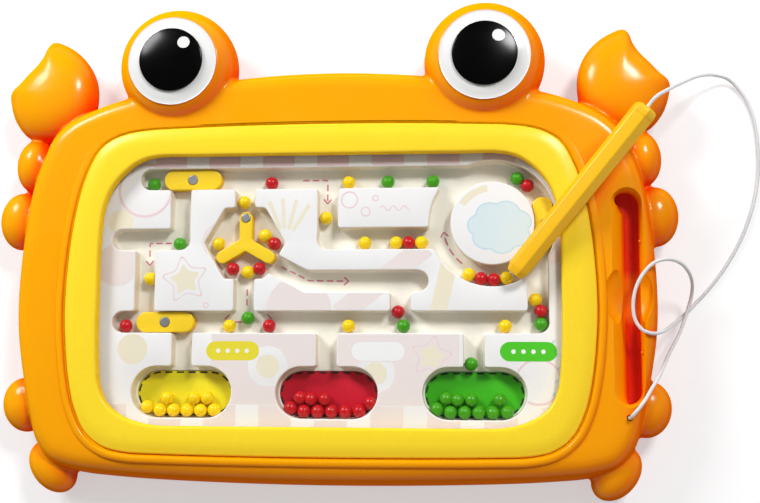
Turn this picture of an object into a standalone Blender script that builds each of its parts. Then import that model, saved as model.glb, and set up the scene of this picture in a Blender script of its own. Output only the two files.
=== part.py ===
"""Crab-shaped magnetic maze board: moulded case, maze tray under a window, gates, balls and pen.

Metres, +Z out of the window. The board lies on its back with its base at Z = 0, X runs along its
length and Y runs towards the eyes. The origin is at the middle of the base of the whole outline.
"""
import math

import bmesh
import bpy
from mathutils import Matrix, Vector

# Clearance between neighbouring pieces, and how far a cutter runs past what it cuts
GAP = 0.0003
OVERRUN = 0.004

# Window opening in the bezel; the maze is laid out as shares of it
WINDOW_WIDTH = 0.2108
WINDOW_DEPTH = 0.1236
WINDOW_RISE = 0.0133
WINDOW_MARGIN = 0.0050
WINDOW_THICKNESS = 0.0014
WINDOW_OUTLINE_SHARES = [
    (0.0, 1.0), (0.569, 1.0), (0.750, 0.998), (0.825, 0.981), (0.897, 0.937), (0.954, 0.875),
    (0.985, 0.802), (0.998, 0.701), (1.0, 0.498), (0.995, 0.256), (0.978, 0.134),
    (0.937, 0.071), (0.863, 0.028), (0.759, 0.004), (0.569, 0.0), (0.0, 0.0)]
LEDGE_THICKNESS = 0.0025
LEDGE_CLEARANCE = 0.0005

# Bezel round the window
BEZEL_SIDE_WIDTH = 0.0166
BEZEL_TOP_WIDTH = 0.0142
BEZEL_WIDTH = WINDOW_WIDTH + 2 * BEZEL_SIDE_WIDTH
BEZEL_DEPTH = WINDOW_RISE + WINDOW_DEPTH + BEZEL_TOP_WIDTH
BEZEL_RISE = 0.0139
BEZEL_BOTTOM_HEIGHT = 0.0265
BEZEL_TOP_HEIGHT = 0.0312
BEZEL_EDGE_ROUND = 0.0011
BEZEL_CROWN_WIDTH = 0.0035
BEZEL_LIP_WIDTH = 0.0020
COLLAR_WIDTH = 0.0030
COLLAR_RISE = 0.0008
BEZEL_OUTLINE_SHARES = [
    (0.0, 1.0), (0.498, 0.994), (0.741, 0.983), (0.828, 0.962), (0.881, 0.930), (0.922, 0.870),
    (0.952, 0.797), (0.977, 0.695), (0.993, 0.582), (1.0, 0.450), (0.994, 0.344),
    (0.977, 0.231), (0.949, 0.138), (0.902, 0.066), (0.836, 0.026), (0.754, 0.010),
    (0.615, 0.005), (0.0, 0.0)]

# Moulded case round the bezel
CASE_SIDE_WIDTH = 0.0275
CASE_BROW_WIDTH = 0.0273
BODY_WIDTH = BEZEL_WIDTH + 2 * CASE_SIDE_WIDTH
BODY_DEPTH = BEZEL_RISE + BEZEL_DEPTH + CASE_BROW_WIDTH
BODY_HEIGHT = 0.0300
SHOULDER_WIDTH = 0.0140
WALL = 0.0025
PARTING_HEIGHT = 0.0120
OUTLINE_COUNT = 44
OUTLINE_CORNER_RADIUS = 0.030
# Half outline from the top middle round the side to the bottom middle: (half width, depth)
BODY_OUTLINE_SHARES = [
    (0.0, 1.0), (0.194, 0.995), (0.401, 0.979), (0.656, 0.945), (0.776, 0.914), (0.846, 0.886),
    (0.900, 0.847), (0.933, 0.792), (0.962, 0.727), (0.987, 0.607), (1.0, 0.462), (0.997, 0.368),
    (0.980, 0.275), (0.953, 0.176), (0.926, 0.098), (0.876, 0.048), (0.803, 0.027),
    (0.669, 0.015), (0.401, 0.005), (0.0, 0.0)]
# Edge of the case from its back to its front: (inset over shoulder width, height over body height)
BODY_SECTION_SHARES = [
    (0.45, 0.0), (0.13, 0.06), (0.0, 0.30), (0.01, 0.56), (0.07, 0.74), (0.24, 0.88),
    (0.55, 0.97), (1.0, 1.0)]
HOLLOW_SECTION_SHARES = [(0.45, 0.0), (0.0, 0.30), (0.07, 0.74), (0.24, 0.88), (1.0, 1.0)]

# Eyes
EYE_RADIUS = 0.0278
EYE_SPACING = 0.1440
EYE_RISE = 0.0022
EYE_CENTRE_HEIGHT = 0.0210
EYE_SEAT_HEIGHT = 0.0346
EYE_SEGMENTS = 20
EYE_ARC_STEPS = 5
CAP_STEPS = 3
WHITE_RADIUS = 0.0207
WHITE_CROWN = 0.0034
PUPIL_RADIUS = 0.0148
PUPIL_THICKNESS = 0.0009

# Claws: outline about the claw's own middle, as shares of its reach
CLAW_REACH = 0.0282
CLAW_HALF_HEIGHT = 0.0105
CLAW_MID_HEIGHT = 0.0150
CLAW_PLACE_SHARES = (0.896, 0.951)
CLAW_OUTLINE_SHARES = [
    (0.092, 1.0), (-0.177, 0.904), (-0.355, 0.780), (-0.514, 0.603), (-0.628, 0.379),
    (-0.670, 0.145), (-0.660, -0.085), (-0.610, -0.35), (-0.42, -0.60), (0.0, -0.76),
    (0.457, -0.706), (0.677, -0.472), (0.759, -0.294), (0.805, -0.117), (0.823, 0.035),
    (0.780, 0.131), (0.649, 0.230), (0.479, 0.404), (0.337, 0.560), (0.230, 0.752),
    (0.174, 0.920)]
CLAW_SECTION_SHARES = [(0.60, -1.0), (0.92, -0.58), (1.0, 0.0), (0.93, 0.55), (0.68, 0.90),
                       (0.34, 1.0)]

# Legs: (across share, up share of the body, half length, half width, lean in degrees)
LEG_HEIGHT = 0.0140
LEG_HALF_THICKNESS = 0.0092
LEG_SPECS_SHARES = [(0.960, 0.778), (0.997, 0.638), (0.960, 0.186), (0.866, 0.038)]
LEG_HALF_LENGTHS = (0.0130, 0.0138, 0.0128, 0.0135)
LEG_HALF_WIDTHS = (0.0090, 0.0105, 0.0108, 0.0095)
LEG_LEANS = (4.0, 0.0, -12.0, -40.0)
LEG_SEGMENTS = 10
LEG_RINGS = 6

# Maze tray
TRAY_BASE_HEIGHT = 0.0130
CHANNEL_DEPTH = 0.0080
CHANNEL_WIDTH = 0.0100
COLUMN_WIDTH = 0.0094
ARC_STEPS = 5
ROW_SHARES = {"top": 0.919, "upper": 0.690, "slot": 0.532, "lower": 0.381}
COLUMN_SHARES = {"first": -0.655, "second": -0.808, "rotor": -0.366, "middle": 0.0,
                 "link": 0.318, "right": 0.905, "yellow": -0.635, "red": 0.0, "green": 0.632}
ROTOR_ROW_SHARE = 0.675
CHAMBER_RADIUS = 0.0165
CHAMBER_SIDES = 6
RING_PLACE_SHARES = (0.713, 0.744)
RING_OUTER_RADIUS = 0.0288
ISLAND_RADIUS = 0.0190
RING_SEGMENTS = 28
TOP_ROW_END_SHARE = 0.588
UPPER_LEFT_END_SHARE = -0.916
UPPER_RIGHT_END_SHARE = 0.500
SLOT_ROW_END_SHARES = (-0.091, 0.392)
ROW_END_LENGTH = 0.0058
CHUTE_START_SHARES = (-0.256, 0.604)
POCKET_WIDTH = 0.0438
POCKET_DEPTH = 0.0235
POCKET_ROW_SHARE = 0.123
POCKET_COLUMN_SHARES = {"yellow": -0.620, "red": 0.015, "green": 0.647}
POCKET_RECESS = 0.0020
POCKET_ARC_STEPS = 10
LINER_THICKNESS = 0.0012

# Gates: sliding blocks with a steel slug, and a three-armed rotor on a pin
GATE_HEIGHT = 0.0055
SLIDER_LENGTH = 0.0272
RING_SLIDER_LENGTH = 0.0250
SLIDER_WIDTH = 0.0094
RING_SLIDER_WIDTH = 0.0090
RING_SLIDER_ANGLE = -0.5
SLIDER_SHARES = {"top": -0.609, "lower": -0.719}
SLUG_RADIUS = 0.0023
SLUG_PROUD = 0.0002
SLUG_SEGMENTS = 16
ROTOR_ARM_WIDTH = 0.0060
ROTOR_TOP_ARM = 0.0119
ROTOR_LOW_ARM = 0.0124
ROTOR_SLUG_RADIUS = 0.0021
PIVOT_RADIUS = 0.0015
PIVOT_HEIGHT = 0.0042

# Balls
BALL_RADIUS = 0.00305
BALL_SEGMENTS = 8
BALL_RINGS = 6
BALL_TURN = 11.0
ROW_SPACING_SHARE = 1.9
# Loose balls in rows: name, row, place across the window, colour
ROW_BALLS_SHARES = [
    ("ball_02", "top", -0.257, "red"),
    ("ball_03", "top", 0.086, "yellow"), ("ball_04", "top", 0.259, "green"),
    ("ball_05", "top", 0.456, "green"), ("ball_09", "upper", -0.666, "green"),
    ("ball_14", "upper", 0.159, "yellow"), ("ball_29", "lower", 0.765, "yellow"),
    ("ball_31", "lower", 0.329, "green"), ("ball_32", "lower", 0.090, "yellow"),
    ("ball_33", "lower", -0.259, "red"), ("ball_35", "lower", -0.435, "yellow")]
# Loose balls past the sliders, at their rows' starts: name, row, colour
START_BALLS = [("ball_01", "top", "green"), ("ball_36", "lower", "red")]
START_BALL_STEP = 0.0003
# Loose ball over the rotor's top arm, and its clearance from the arm
ROTOR_BALL_NAME = "ball_08_yellow"
ROTOR_BALL_CLEARANCE = 0.0017
# Loose balls in columns: name, column, place up the window, side, colour
COLUMN_BALLS_SHARES = [
    ("ball_11", "middle", 0.772, -1, "yellow"),
    ("ball_18", "second", 0.545, 1, "yellow"), ("ball_30", "link", 0.420, -1, "red"),
    ("ball_34", "rotor", 0.397, 1, "green"), ("ball_37", "green", 0.230, -1, "green")]
# Strings of touching balls: three in a row, three down a column, two and four in the ring
UPPER_TRIO_SHARE = 0.296
RIGHT_TRIO_SHARE = 0.375
RING_PAIR_ANGLE = 54.6
RING_FOUR_ANGLE = -95.3
# Balls between the rotor's arms: name, angles in degrees, colour
CHAMBER_BALLS = [("ball_10_yellow", [179.0], "yellow"), ("ball_19_red", [-118.0], "red"),
                 ("ball_pair_rotor_low", [-86.5, -61.2], "yellow")]
CHAMBER_PAIR_SHARES = [(1.0, 0.009), (0.669, 0.297)]
# Heaps: pocket, balls in the low row, upper balls by their place on that row
HEAPS = [("yellow", 6, (1, 3, 4)), ("red", 7, (0, 1, 2)), ("green", 6, (0, 1, 2, 4))]
HEAP_SHIFT = 0.0020

# Pen store, pen and tether
SLOT_WIDTH = 0.0120
SLOT_LENGTH = 0.0947
SLOT_DEPTH = 0.0120
SLOT_INSET = 0.0149
SLOT_DROP_SHARE = -0.0556
SCOOP_RADII = (0.0110, 0.0140, 0.0080)
NUB_RADIUS = 0.0010
NUB_PLACE_SHARE = 0.52
ANCHOR_STEP = 0.0055
ANCHOR_OFFSET = 0.0010
ANCHOR_HOLE_RADIUS = 0.0013
ANCHOR_BOSS_RADIUS = 0.0040
ANCHOR_SEAT_HEIGHT = 0.0245
KNOT_RADIUS = 0.0024
PEN_LENGTH = 0.0920
PEN_RADIUS = 0.00577
PEN_NOSE_LENGTH = 0.0030
PEN_NOSE_SHARE = 0.70
PEN_TIP_SHARE = 0.90
PEN_CAP_LENGTH = 0.0045
PEN_CAP_SHARES = [(0.0, 1.0), (0.55, 0.97), (0.85, 0.82), (1.0, 0.52)]
PEN_TIP_PLACE_SHARES = (0.801, 0.551)
PEN_HEADING = 51.0
PEN_TWIST = -18.0
PEN_EDGE_SHARE = 0.98
PEN_BORE_RADIUS = 0.0034
PEN_SPIGOT_LENGTH = 0.0060
MAGNET_RADIUS = 0.0025
MAGNET_LENGTH = 0.0060
MAGNET_PROUD = 0.0005
TETHER_RADIUS = 0.0008
TETHER_SPACING = 0.0048
# The tether's route from its hole in the case to the pen's tail, over and round the board's edge
TETHER_ROUTE = [
    (0.1336, -0.0762, 0.0245), (0.1336, -0.0762, 0.0280), (0.1337, -0.0761, 0.0315),
    (0.1348, -0.0745, 0.0342), (0.1372, -0.0716, 0.0348), (0.1400, -0.0680, 0.0335),
    (0.1432, -0.0635, 0.0305), (0.1472, -0.0580, 0.0262), (0.1529, -0.0484, 0.0190),
    (0.1593, -0.0383, 0.0120), (0.1633, -0.0291, 0.0086), (0.1651, -0.0225, 0.0098),
    (0.1648, -0.0168, 0.0148), (0.1620, -0.0120, 0.0216), (0.1571, -0.0084, 0.0277),
    (0.1512, -0.0072, 0.0311), (0.1455, -0.0087, 0.0320), (0.1405, -0.0136, 0.0319),
    (0.1371, -0.0203, 0.0316), (0.1359, -0.0275, 0.0314), (0.1367, -0.0338, 0.0314),
    (0.1395, -0.0380, 0.0315), (0.1437, -0.0396, 0.0306), (0.1488, -0.0389, 0.0261),
    (0.1550, -0.0356, 0.0156), (0.1625, -0.0305, 0.0048), (0.1690, -0.0243, 0.0015),
    (0.1750, -0.0180, 0.0011), (0.1831, -0.0073, 0.0011), (0.1908, 0.0062, 0.0011),
    (0.1963, 0.0212, 0.0011), (0.1990, 0.0353, 0.0011), (0.1994, 0.0477, 0.0011),
    (0.1980, 0.0610, 0.0011), (0.1940, 0.0724, 0.0013), (0.1872, 0.0802, 0.0030),
    (0.1790, 0.0812, 0.0090), (0.1700, 0.0782, 0.0190), (0.1602, 0.0720, 0.0320),
    (0.1515, 0.0659, 0.0424)]

# Screws from the back, and posts under the tray
SCREW_PLACE_SHARES = [(-0.789, 0.847), (0.789, 0.847), (-0.803, 0.087), (0.803, 0.087)]
SCREW_RADIUS = 0.0014
SCREW_HEAD_RADIUS = 0.0029
SCREW_HEAD_HEIGHT = 0.0021
SCREW_TOP_HEIGHT = 0.0220
SCREW_RECESS_DEPTH = 0.0040
BOSS_RADIUS = 0.0042
BOSS_SEGMENTS = 12
POST_RADIUS = 0.0035
POST_COLUMN_SHARES = (-0.80, 0.0, 0.80)
POST_ROW_SHARES = (0.10, 0.90)

COLOURS = {
    "orange": (1.0, 0.52, 0.0), "bezel_yellow": (1.0, 0.78, 0.05), "clear": (0.95, 0.97, 1.0),
    "tray_white": (0.88, 0.87, 0.85), "gate_yellow": (0.96, 0.68, 0.03),
    "steel": (0.62, 0.62, 0.64), "yellow": (0.98, 0.70, 0.03), "red": (0.62, 0.01, 0.02),
    "green": (0.05, 0.35, 0.02), "white": (0.92, 0.92, 0.92), "black": (0.01, 0.01, 0.01),
    "cord": (0.80, 0.80, 0.80)}
METALLIC = {"steel"}


def derived_sizes():
    """Places that several pieces share, worked out from the sizes above."""
    lean = math.radians(LEG_LEANS[-1])
    low_reach = math.hypot(LEG_HALF_LENGTHS[-1] * math.cos(lean), LEG_HALF_WIDTHS[-1] * math.sin(lean))
    high = BODY_DEPTH + EYE_RISE + EYE_RADIUS
    low = LEG_SPECS_SHARES[-1][1] * BODY_DEPTH - low_reach
    body_low = -(high + low) / 2
    return body_low


BODY_LOW = derived_sizes()
BEZEL_LOW = BODY_LOW + BEZEL_RISE
WINDOW_LOW = BEZEL_LOW + WINDOW_RISE
WINDOW_TOP_HEIGHT = BEZEL_BOTTOM_HEIGHT - GAP
LAND_HEIGHT = WINDOW_TOP_HEIGHT - WINDOW_THICKNESS - GAP
FLOOR_HEIGHT = LAND_HEIGHT - CHANNEL_DEPTH
LINER_TOP_HEIGHT = FLOOR_HEIGHT - POCKET_RECESS + GAP + LINER_THICKNESS
SLOT_X = BODY_WIDTH / 2 - SLOT_INSET
SLOT_Y = BODY_LOW + BODY_DEPTH * (1 / 2 + SLOT_DROP_SHARE)


def maze_point(across, up):
    """A place in the maze from its shares of the window's half width and depth."""
    return Vector((across * WINDOW_WIDTH / 2, WINDOW_LOW + up * WINDOW_DEPTH))


def body_point(across, up):
    """A place on the case from its shares of the body's half width and depth."""
    return Vector((across * BODY_WIDTH / 2, BODY_LOW + up * BODY_DEPTH))


def curve_between(four, part):
    """A point part way between the middle two of four points, on a smooth curve."""
    knots = [0.0]
    for a, b in zip(four, four[1:]):
        knots.append(knots[-1] + math.sqrt((b - a).length))
    at = knots[1] + (knots[2] - knots[1]) * part

    def mix(a, b, low, high):
        return a.lerp(b, (at - low) / (high - low))

    first = [mix(four[j], four[j + 1], knots[j], knots[j + 1]) for j in range(3)]
    second = [mix(first[j], first[j + 1], knots[j], knots[j + 2]) for j in range(2)]
    return mix(second[0], second[1], knots[1], knots[2])


def curve_points(points, steps, closed):
    """Points along a smooth curve through the given points."""
    count = len(points)
    spans = count if closed else count - 1
    result = []
    for k in range(spans):
        if closed:
            four = [points[(k + j) % count] for j in (-1, 0, 1, 2)]
        else:
            before = points[k - 1] if k else points[0] * 2 - points[1]
            after = points[k + 2] if k + 2 < count else points[-1] * 2 - points[-2]
            four = [before, points[k], points[k + 1], after]
        result += [curve_between(four, step / steps) for step in range(steps)]
    if not closed:
        result.append(points[-1])
    return result


def outline(shares, width, low, depth):
    """A mirrored outline, anticlockwise from its top middle, with more points where it turns."""
    left = [Vector((-x * width / 2, low + y * depth)) for x, y in shares]
    right = [Vector((-p.x, p.y)) for p in reversed(left[1:-1])]
    dense = curve_points(left + right, ARC_STEPS, True)
    return spread(dense, OUTLINE_COUNT)


def spread(loop, count):
    """Points spread evenly over a loop's length and its turning taken together."""
    measure = [0.0]
    size = len(loop)
    for k in range(size):
        side = loop[(k + 1) % size] - loop[k]
        following = loop[(k + 2) % size] - loop[(k + 1) % size]
        measure.append(measure[-1] + side.length + OUTLINE_CORNER_RADIUS * side.angle(following))
    result = []
    k = 0
    for j in range(count):
        target = measure[-1] * j / count
        while measure[k + 1] < target:
            k += 1
        part = (target - measure[k]) / (measure[k + 1] - measure[k])
        result.append(loop[k].lerp(loop[(k + 1) % size], part))
    return result


def grown(loop, distance):
    """An anticlockwise loop moved outwards along its normals."""
    size = len(loop)
    result = []
    for k in range(size):
        along = (loop[(k + 1) % size] - loop[k - 1]).normalized()
        result.append(loop[k] + Vector((along.y, -along.x)) * distance)
    return result


def capsule(start, end, width, steps=ARC_STEPS):
    """A straight channel's outline with round ends."""
    along = (end - start).normalized()
    result = []
    for centre, turn in ((end, -math.pi / 2), (start, math.pi / 2)):
        for step in range(steps + 1):
            angle = turn + math.pi * step / steps
            result.append(centre + Matrix.Rotation(angle, 2) @ along * width / 2)
    return result


def polar(centre, radius, angle):
    """A place at a radius and angle from a centre."""
    return centre + Vector((math.cos(angle), math.sin(angle))) * radius


def circle(centre, radius, count):
    """A round outline."""
    return [polar(centre, radius, 2 * math.pi * k / count) for k in range(count)]


def ring_sector(centre, inner, outer, start, end):
    """A curved block's outline along a ring, with round ends, angles in radians."""
    middle, half = (inner + outer) / 2, (outer - inner) / 2
    shares = [k / ARC_STEPS for k in range(ARC_STEPS + 1)]
    loop = [polar(centre, outer, start + (end - start) * t) for t in shares]
    loop += [polar(polar(centre, middle, end), half, end + math.pi * t) for t in shares[1:-1]]
    loop += [polar(centre, inner, end + (start - end) * t) for t in shares]
    turned_start = start + math.pi
    loop += [polar(polar(centre, middle, start), half, turned_start + math.pi * t) for t in shares[1:-1]]
    return loop


def solid(name, verts, faces):
    """A closed mesh object from its corners and faces."""
    mesh = bpy.data.meshes.new(name)
    mesh.from_pydata([tuple(v) for v in verts], [], faces)
    editable = bmesh.new()
    editable.from_mesh(mesh)
    bmesh.ops.recalc_face_normals(editable, faces=editable.faces)
    editable.to_mesh(mesh)
    editable.free()
    item = bpy.data.objects.new(name, mesh)
    bpy.context.collection.objects.link(item)
    return item


def loft(name, rings, closed=False):
    """Rings of equal count joined in turn, capped at both ends or closed into a tube."""
    count = len(rings[0])
    verts = [point for ring in rings for point in ring]
    faces = []
    last = len(rings) if closed else len(rings) - 1
    for r in range(last):
        low, high = r * count, (r + 1) % len(rings) * count
        for k in range(count):
            n = (k + 1) % count
            faces.append((low + k, low + n, high + n, high + k))
    if not closed:
        faces.append(tuple(reversed(range(count))))
        faces.append(tuple(range(len(verts) - count, len(verts))))
    return solid(name, verts, faces)


def at_height(loop, height):
    """A flat loop lifted to a height."""
    return [Vector((p.x, p.y, height)) for p in loop]


def prism(name, loop, low, high):
    """A flat outline made into a block between two heights."""
    return loft(name, [at_height(loop, low), at_height(loop, high)])


def turned(name, profile, centre, segments):
    """A turned solid from (radius, height) points whose ends lie on its axis."""
    verts = [Vector((centre.x, centre.y, profile[0][1])), Vector((centre.x, centre.y, profile[-1][1]))]
    rings = profile[1:-1]
    for radius, height in rings:
        verts += at_height(circle(centre, radius, segments), height)
    faces = []
    for k in range(segments):
        n = (k + 1) % segments
        faces.append((0, 2 + n, 2 + k))
        top = 2 + (len(rings) - 1) * segments
        faces.append((1, top + k, top + n))
        for r in range(len(rings) - 1):
            low, high = 2 + r * segments, 2 + (r + 1) * segments
            faces.append((low + k, low + n, high + n, high + k))
    return solid(name, verts, faces)


def ellipsoid(name, centre, radii, lean, segments, rings):
    """An ellipsoid turned about the vertical by its lean, in degrees."""
    mesh = bpy.data.meshes.new(name)
    editable = bmesh.new()
    bmesh.ops.create_uvsphere(editable, u_segments=segments, v_segments=rings, radius=1.0)
    place = Matrix.Translation(centre) @ Matrix.Rotation(math.radians(lean), 4, "Z")
    editable.transform(place @ Matrix.Diagonal((*radii, 1.0)))
    editable.to_mesh(mesh)
    editable.free()
    item = bpy.data.objects.new(name, mesh)
    bpy.context.collection.objects.link(item)
    return item


def cut(target, tool, operation="DIFFERENCE"):
    """Apply a Boolean to the target and remove the tool."""
    modifier = target.modifiers.new("cut", "BOOLEAN")
    modifier.operation = operation
    modifier.object = tool
    bpy.context.view_layer.update()
    evaluated = target.evaluated_get(bpy.context.evaluated_depsgraph_get())
    mesh = bpy.data.meshes.new_from_object(evaluated)
    target.modifiers.clear()
    target.data = mesh
    bpy.data.objects.remove(tool)
    return target


def join(target, tool):
    """Join a tool to the target as one solid."""
    return cut(target, tool, "UNION")


def copy_of(item, name):
    """A separate copy of a solid."""
    twin = bpy.data.objects.new(name, item.data.copy())
    bpy.context.collection.objects.link(twin)
    return twin


def finish(item, colour, roughness, origin=None, smooth_angle=35.0):
    """Give a piece its material, shading and, where it moves, an origin on its axis."""
    material = bpy.data.materials.get(colour) or bpy.data.materials.new(colour)
    material.use_nodes = True
    shader = material.node_tree.nodes["Principled BSDF"]
    shader.inputs["Base Color"].default_value = (*COLOURS[colour], 1.0)
    shader.inputs["Roughness"].default_value = roughness
    shader.inputs["Metallic"].default_value = 1.0 if colour in METALLIC else 0.0
    item.data.materials.clear()
    item.data.materials.append(material)
    item.data.shade_smooth()
    item.data.set_sharp_from_angle(angle=math.radians(smooth_angle))
    if origin is not None:
        item.data.transform(Matrix.Translation(-Vector(origin)))
        item.location = origin
    return item


def body_form(name, inset):
    """The case's pillow shape, moved inwards by an inset."""
    loop = outline(BODY_OUTLINE_SHARES, BODY_WIDTH, BODY_LOW, BODY_DEPTH)
    rings = []
    sections = HOLLOW_SECTION_SHARES if inset else BODY_SECTION_SHARES
    for across, up in sections:
        height = inset + up * (BODY_HEIGHT - 2 * inset)
        rings.append(at_height(grown(loop, -across * SHOULDER_WIDTH - inset), height))
    return loft(name, rings)


def eye_centre(side):
    """The middle of one eye ball, side -1 at the left and 1 at the right."""
    return Vector((side * EYE_SPACING / 2, BODY_LOW + BODY_DEPTH + EYE_RISE))


def eye_form(name, side, inset):
    """An eye ball with a flat back and a flat seat for the white, moved inwards by an inset."""
    radius = EYE_RADIUS - inset
    low = math.asin((inset - EYE_CENTRE_HEIGHT) / radius)
    high = math.asin((EYE_SEAT_HEIGHT - inset - EYE_CENTRE_HEIGHT) / radius)
    profile = [(0.0, inset)]
    steps = EYE_ARC_STEPS // 2 if inset else EYE_ARC_STEPS
    for k in range(steps + 1):
        angle = low + (high - low) * k / steps
        profile.append((radius * math.cos(angle), EYE_CENTRE_HEIGHT + radius * math.sin(angle)))
    profile.append((0.0, EYE_SEAT_HEIGHT - inset))
    return turned(name, profile, eye_centre(side), EYE_SEGMENTS)


def claw_form(name, side, inset):
    """A claw as a swollen shape with two points, moved inwards by an inset."""
    centre = body_point(side * CLAW_PLACE_SHARES[0], CLAW_PLACE_SHARES[1])
    reach = CLAW_REACH - inset
    rings = []
    sections = CLAW_SECTION_SHARES[::2] if inset else CLAW_SECTION_SHARES
    for spread_share, up in sections:
        height = CLAW_MID_HEIGHT + up * (CLAW_HALF_HEIGHT - inset)
        loop = [centre + Vector((side * x, y)) * reach * spread_share for x, y in CLAW_OUTLINE_SHARES]
        rings.append(at_height(loop, height))
    return loft(name, rings)


def leg_form(name, side, k):
    """One of the rounded legs on a side."""
    place = body_point(side * LEG_SPECS_SHARES[k][0], LEG_SPECS_SHARES[k][1])
    radii = (LEG_HALF_WIDTHS[k], LEG_HALF_LENGTHS[k], LEG_HALF_THICKNESS)
    centre = Vector((place.x, place.y, LEG_HEIGHT))
    return ellipsoid(name, centre, radii, side * LEG_LEANS[k], LEG_SEGMENTS, LEG_RINGS)


def case_forms():
    """The outer shape of the whole case, and its inner hollow."""
    outer = body_form("outer", 0.0)
    hollow = body_form("hollow", WALL)
    for side in (-1, 1):
        join(outer, eye_form("eye", side, 0.0))
        join(outer, claw_form("claw", side, 0.0))
        join(hollow, eye_form("eye", side, WALL))
        join(hollow, claw_form("claw", side, WALL))
        for k in range(len(LEG_SPECS_SHARES)):
            join(outer, leg_form("leg", side, k))
    return outer, hollow


def slab(name, low, high):
    """A block wider than the whole object, between two heights."""
    reach = BODY_WIDTH
    corners = [Vector((x, y)) for x, y in ((-reach, -reach), (reach, -reach), (reach, reach), (-reach, reach))]
    return prism(name, corners, low, high)


def column(name, centre, radius, low, high, segments=BOSS_SEGMENTS):
    """An upright round bar."""
    return prism(name, circle(centre, radius, segments), low, high)


def window_outline(growth):
    """The window opening, grown outwards."""
    loop = outline(WINDOW_OUTLINE_SHARES, WINDOW_WIDTH, WINDOW_LOW, WINDOW_DEPTH)
    return grown(loop, growth)


def bezel_outline(growth):
    """The bezel's outer edge, grown outwards."""
    loop = outline(BEZEL_OUTLINE_SHARES, BEZEL_WIDTH, BEZEL_LOW, BEZEL_DEPTH)
    return grown(loop, growth)


def slot_outline(growth):
    """The pen store's outline, grown outwards."""
    half = (SLOT_LENGTH - SLOT_WIDTH) / 2
    start, end = Vector((SLOT_X, SLOT_Y - half)), Vector((SLOT_X, SLOT_Y + half))
    return capsule(start, end, SLOT_WIDTH + 2 * growth)


def scoop(name, growth):
    """The finger scoop across the pen store, grown outwards."""
    radii = [radius + growth for radius in SCOOP_RADII]
    centre = Vector((SLOT_X, SLOT_Y, BODY_HEIGHT))
    return ellipsoid(name, centre, radii, 0.0, EYE_SEGMENTS, EYE_ARC_STEPS)


def anchor_point():
    """Where the tether comes out of the case."""
    return Vector((SLOT_X - ANCHOR_OFFSET, SLOT_Y - SLOT_LENGTH / 2 - ANCHOR_STEP))


def collar():
    """The raised rim round the bezel, highest at the bottom edge."""
    inner, outer = bezel_outline(GAP), bezel_outline(COLLAR_WIDTH)
    low = BODY_HEIGHT - WALL / 2
    top = []
    for loop in (outer, inner):
        ring = []
        for p in loop:
            drop = 1 - (p.y - BEZEL_LOW) / BEZEL_DEPTH
            ring.append(Vector((p.x, p.y, BODY_HEIGHT + COLLAR_RISE * drop)))
        top.append(ring)
    rings = [at_height(outer, low), top[0], top[1], at_height(inner, low)]
    return loft("collar", rings, closed=True)


def build_front_housing(outer, hollow):
    """The front half of the case, with its seat for the bezel and the pen store."""
    seat_low = WINDOW_TOP_HEIGHT - LEDGE_THICKNESS
    store_floor = BODY_HEIGHT - SLOT_DEPTH
    inside = BODY_HEIGHT - WALL / 2
    cut(hollow, prism("seat", bezel_outline(WALL), seat_low, BODY_HEIGHT))
    cut(hollow, prism("store", slot_outline(WALL), store_floor - WALL, BODY_HEIGHT))
    cut(hollow, scoop("scoop", WALL))
    cut(hollow, column("anchor_boss", anchor_point(), ANCHOR_BOSS_RADIUS, ANCHOR_SEAT_HEIGHT, BODY_HEIGHT))
    for across, up in SCREW_PLACE_SHARES:
        cut(hollow, column("boss", body_point(across, up), BOSS_RADIUS, 0.0, BODY_HEIGHT))
    join(outer, collar())
    cut(outer, hollow)
    cut(outer, prism("bezel_seat", bezel_outline(GAP), WINDOW_TOP_HEIGHT, BODY_HEIGHT + OVERRUN))
    opening = window_outline(WINDOW_MARGIN + LEDGE_CLEARANCE)
    cut(outer, prism("opening", opening, seat_low - OVERRUN, BODY_HEIGHT))
    cut(outer, prism("store", slot_outline(0.0), store_floor, BODY_HEIGHT + OVERRUN))
    cut(outer, scoop("scoop", 0.0))
    hole_low = ANCHOR_SEAT_HEIGHT - OVERRUN
    cut(outer, column("hole", anchor_point(), ANCHOR_HOLE_RADIUS, hole_low, BODY_HEIGHT + OVERRUN))
    for across, up in SCREW_PLACE_SHARES:
        top = SCREW_TOP_HEIGHT + GAP
        cut(outer, column("pilot", body_point(across, up), SCREW_RADIUS + GAP, 0.0, top))
    for sign in (-1, 1):
        place = Vector((SLOT_X + SLOT_WIDTH / 2, SLOT_Y + sign * NUB_PLACE_SHARE * SLOT_LENGTH / 2, inside))
        place.z -= SLOT_DEPTH / 3
        join(outer, ellipsoid("nub", place, (NUB_RADIUS,) * 3, 0.0, LEG_RINGS, LEG_RINGS))
    cut(outer, slab("back", -OVERRUN, PARTING_HEIGHT + GAP / 2))
    outer.name = "front_housing"
    return finish(outer, "orange", 0.25)


def build_rear_cover(outer, hollow):
    """The back half of the case, with screw bosses and posts under the tray."""
    for across, up in SCREW_PLACE_SHARES:
        cut(hollow, column("boss", body_point(across, up), BOSS_RADIUS, 0.0, BODY_HEIGHT))
    cut(outer, hollow)
    for across, up in SCREW_PLACE_SHARES:
        place = body_point(across, up)
        cut(outer, column("recess", place, SCREW_HEAD_RADIUS + GAP, -OVERRUN, SCREW_RECESS_DEPTH))
        cut(outer, column("hole", place, SCREW_RADIUS + GAP, 0.0, BODY_HEIGHT))
    cut(outer, slab("front", PARTING_HEIGHT - GAP / 2, BODY_HEIGHT + EYE_SEAT_HEIGHT))
    for across in POST_COLUMN_SHARES:
        for up in POST_ROW_SHARES:
            top = TRAY_BASE_HEIGHT - GAP
            join(outer, column("post", maze_point(across, up), POST_RADIUS, WALL / 2, top))
    outer.name = "rear_cover"
    return finish(outer, "orange", 0.35)


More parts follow.
